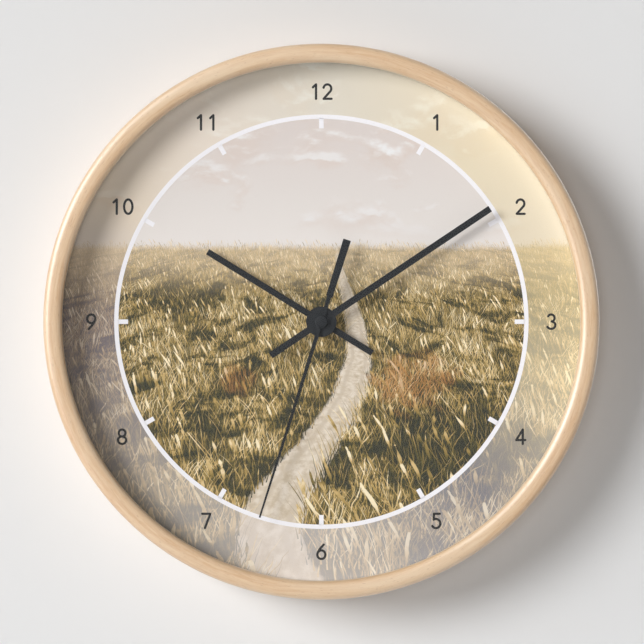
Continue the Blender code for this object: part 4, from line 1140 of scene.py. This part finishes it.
def makeBattery():
    low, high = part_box("battery")
    radius = (high.z - low.z) / 2
    half = (high.x - low.x - cell["nubLength"]) / 2
    centre = Matrix.Translation((low.x + half, (low.y + high.y) / 2, (low.z + high.z) / 2))
    place = centre @ Matrix.Rotation(-pi / 2, 4, "Z")
    ease, rim, lap, steps = cell["ease"], cell["crimp"], cell["lap"], cell["easeSteps"]
    turns = [pi / 2 * k / steps for k in range(steps + 1)]
    wall = radius - cell["jacket"]
    profile = [(rim, lap - half)]
    profile += [(radius - ease + ease * sin(a), -half + ease * (1 - cos(a))) for a in turns]
    profile += [(radius - ease + ease * cos(a), half - ease + ease * sin(a)) for a in turns]
    inside = [(rim, cell["fold"] - half), (wall, cell["wallFrom"] - half)]
    profile += [(rim, half - lap)] + [(reach, -y) for reach, y in inside]
    profile += inside[::-1] + [(rim, lap - half)]
    jacket = lathe("cell_sleeve", profile, 64, place)
    finishes["cellJacket"] = material("cellJacket", cellJacket, Metallic=0.35)
    dress(jacket, "cellJacket", "cell", "battery_jacket", "battery")
    # the can inside it, from its flat end to its nub
    inner = wall - cell["air"]
    nub, tip = cell["nub"], half + cell["nubLength"]
    ends = [(reach, inwards - half) for reach, inwards in cell["flat"]]
    ends += [(inner, cell["canFrom"] - half), (inner, half - cell["canFrom"])]
    ends += [(reach, half - inwards) for reach, inwards in cell["shoulder"]]
    ends += [(nub, tip - cell["nubEase"]), (nub - cell["nubEase"], tip), (0, tip)]
    dress(lathe("cell_can", ends, 64, place), "nickel", "cell", "nickel")


knob = {
    "sides": 240,
    "notches": 24,
    "depth": 0.0007,
    "rimWidth": 0.0007,  # how far in the notches reach
    "dish": 0.0004,
    "dishRadius": 0.0036,
    "dishSlope": 0.0003,  # width of the slope into the dish
    "dishEdge": 0.0001,
    "ease": 0.0002,
}


def makeKnob():
    low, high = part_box("setting_knob")
    radius = (high.z - low.z) / 2
    ease, dish, edge = knob["ease"], knob["dishRadius"], knob["dishEdge"]
    corner = ease * cornerShare
    floor = high.y - knob["dish"]
    profile = [(0, low.y), (radius - ease, low.y), (radius, low.y + ease), (radius, high.y - ease)]
    profile += [(radius - corner, high.y - corner), (radius - ease, high.y)]
    profile += [(dish + edge + knob["dishSlope"], high.y), (dish + edge, high.y - edge)]
    profile += [(dish, floor), (0, floor)]
    seed = meshOf(lathe("knobSeed", profile, knob["sides"], Matrix.Identity(4)))
    values = {"Notches": knob["notches"], "Depth": knob["depth"]}
    values["Inner"] = radius - knob["rimWidth"]
    values["Centre"] = ((low.x + high.x) / 2, 0, (low.z + high.z) / 2)
    wheel = grown("knob_wheel", seed, knurled, Finish=finishes["blackPlastic"], **values)
    dress(wheel, "blackPlastic", "knob", "black_plastic", "setting_knob", smooth=34)


marks = {
    "pen": 0.0003,
    "height": 0.0003,
    "signs": 0.0236,  # to each side of the axis
    "signsDown": 0.0088,
    "size": 0.0014,
    "arrow": 0.0079,  # radius of the arrow round the knob
    "arrowFrom": 40,
    "arrowTurn": 100,
    "arrowSteps": 20,
    "barb": 0.0014,
    "barbAngle": 0.5,  # in radians, to each side of the arrow
}


def makeCaseMarks():
    # plus and minus over the battery and an arrow with two heads round the knob
    m = marks
    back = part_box("back_case")[1].y
    low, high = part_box("setting_knob")
    knobX = (low.x + high.x) / 2
    knobZ = (low.z + high.z) / 2
    z = dialZ - m["signsDown"]
    minus, plus = dialX - m["signs"], dialX + m["signs"]
    lines = [[(x - m["size"], z), (x + m["size"], z)] for x in (minus, plus)]
    lines.append([(plus, z - m["size"]), (plus, z + m["size"])])
    steps = m["arrowSteps"]
    turns = [radians(m["arrowFrom"] + m["arrowTurn"] * k / steps) for k in range(steps + 1)]
    curve = [(knobX + m["arrow"] * cos(a), knobZ + m["arrow"] * sin(a)) for a in turns]
    lines.append(curve)
    for (x, z), facing in ((curve[0], turns[0] + pi / 2), (curve[-1], turns[-1] - pi / 2)):
        for angle in (facing - m["barbAngle"], facing + m["barbAngle"]):
            lines.append([(x, z), (x + m["barb"] * cos(angle), z + m["barb"] * sin(angle))])
    values = {"Pen": m["pen"], "Thickness": m["height"], "Surface": back}
    drawing = drawn("caseMarks", lines)
    raised = grown("case_marks", drawing, inkStroke, Finish=finishes["blackPlastic"], **values)
    dress(raised, "blackPlastic", "clock", "black_plastic")


makeBattery()
makeKnob()
makeCaseMarks()
print("battery, knob and case marks made")


keptNodes = {
    # CAD meshes that stay as they are, under their finish
    "screwSteel": ["clip_screw_1", "clip_screw_2", "clip_screw_3", "clip_screw_4"],
    "brass": ["hour_hand_collet", "minute_hand_collet", "centre_arbor"],
    "nickel": ["positive_contact", "negative_contact", "crystal"],
    "laminate": ["circuit_board"],
    "epoxy": ["chip"],
    "copper": ["coil_winding"],
    "iron": ["coil_core", "stator"],
    "ferrite": ["rotor_magnet"],
    "acetal": [
        "coil_bobbin",
        "rotor_pinion",
        "step_wheel",
        "seconds_wheel",
        "minute_wheel",
        "hour_wheel",
    ],
    "amberAcetal": ["third_wheel", "centre_wheel"],
}
for finish, nodes in keptNodes.items():
    for node in nodes:
        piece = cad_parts[node]
        if not piece.material_slots:
            piece.data.materials.append(None)
        for slot in piece.material_slots:
            slot.material = finishes[finish]


stage = {
    "floor": -1.3,
    "wall": (4.0, 0.0006, 4.0),  # half width, distance behind the clock, top
    "floorHalf": 2.4,
    "floorFront": -2.8,
    "roughness": 0.85,
    "specular": 0.2,
}


def stageMaterial(name, oneSided):
    made = bpy.data.materials.new(name)
    g = cleared(made)
    values = {"Base Color": light["backdrop"], "Roughness": stage["roughness"]}
    values["Specular IOR Level"] = stage["specular"]
    surface = g.node("ShaderNodeBsdfPrincipled", None, values)
    if oneSided:
        # seen through from behind, so that the back of the clock shows and is lit
        clear = g.node("ShaderNodeBsdfTransparent")
        behind = g.node("ShaderNodeNewGeometry", None, None, "Backfacing")
        shadow = g.node("ShaderNodeLightPath", None, None, "Is Shadow Ray")
        values = {0: g.higher(behind, shadow), 1: surface, 2: clear}
        surface = g.node("ShaderNodeMixShader", None, values)
    g.node("ShaderNodeOutputMaterial", None, {"Surface": surface})
    return made


def makeStage():
    wide, wallY, top = stage["wall"]
    floor, half, front = stage["floor"], stage["floorHalf"], stage["floorFront"]
    wall = [(-wide, wallY, floor), (wide, wallY, floor), (wide, wallY, top), (-wide, wallY, top)]
    ground = [(-half, front, floor), (half, front, floor)]
    ground += [(half, half, floor), (-half, half, floor)]
    for name, corners, oneSided in (("wallSheet", wall, True), ("floorSheet", ground, False)):
        mesh = bpy.data.meshes.new(name)
        mesh.from_pydata(corners, [], [(0, 1, 2, 3)])
        mesh.materials.append(stageMaterial(name, oneSided))
        addObject(name, mesh)


def lamp(name, middle, mirrored=True):
    # a round soft box that lights a surface facing its side by its share
    k = light[name]
    away = radians(k["offNormal"])
    clockwise = radians(k["clock"])
    direction = Vector((sin(away) * sin(clockwise), -cos(away), sin(away) * cos(clockwise)))
    made = bpy.data.lights.new(name + "Lamp", "AREA")
    made.energy = k["share"] * (pi * k["distance"]) ** 2 / abs(cos(away))
    made.shape = "DISK"
    made.size = 2 * k["distance"] * tan(radians(k["spread"]))
    holder = bpy.data.objects.new(name + "Lamp", made)
    bpy.context.scene.collection.objects.link(holder)
    holder.location = middle + direction * k["distance"]
    holder.rotation_euler = (-direction).to_track_quat("-Z", "Y").to_euler()
    holder.visible_glossy = mirrored


def makeLight():
    middle = Vector((dialX, -0.02, dialZ))
    lamp("key", middle)
    lamp("side", middle)
    lamp("front", middle, False)  # it would stand in the lens as a white disc
    lamp("back", middle)
    world = bpy.data.worlds.new("studio")
    bpy.context.scene.world = world
    g = cleared(world)
    path = g.node("ShaderNodeLightPath").socket.node.outputs
    seen = Wire(g, path["Is Camera Ray"])
    for ray in ("Is Glossy Ray", "Is Transmission Ray"):
        seen = g.higher(seen, Wire(g, path[ray]))
    values = {"Color": (255, 255, 255), "Strength": light["ambient"]}
    plain = g.node("ShaderNodeBackground", None, values)
    pale = g.node("ShaderNodeBackground", None, {"Color": light["backdrop"], "Strength": 1.0})
    mixed = g.node("ShaderNodeMixShader", None, {0: seen, 1: plain, 2: pale})
    g.node("ShaderNodeOutputWorld", None, {"Surface": mixed})
    bpy.context.scene.view_settings.view_transform = "Standard"


def makeCamera():
    lens = bpy.data.cameras.new("photoCamera")
    lens.sensor_width = view["sensor"]
    lens.lens = view["sensor"] * view["distance"] / view["photoSize"]
    lens.clip_start = 0.1
    lens.clip_end = 50
    camera = bpy.data.objects.new("photoCamera", lens)
    bpy.context.scene.collection.objects.link(camera)
    frontOfRing = crestY + woodRing["lipRound"]
    aimX, aimZ = dialX + view["aimAside"], dialZ - view["aimDown"]
    camera.location = (aimX, frontOfRing - view["distance"], aimZ)
    camera.rotation_euler = (pi / 2, 0, 0)
    bpy.context.scene.camera = camera


makeStage()
makeLight()
makeCamera()
print("stage, lamps and camera set")
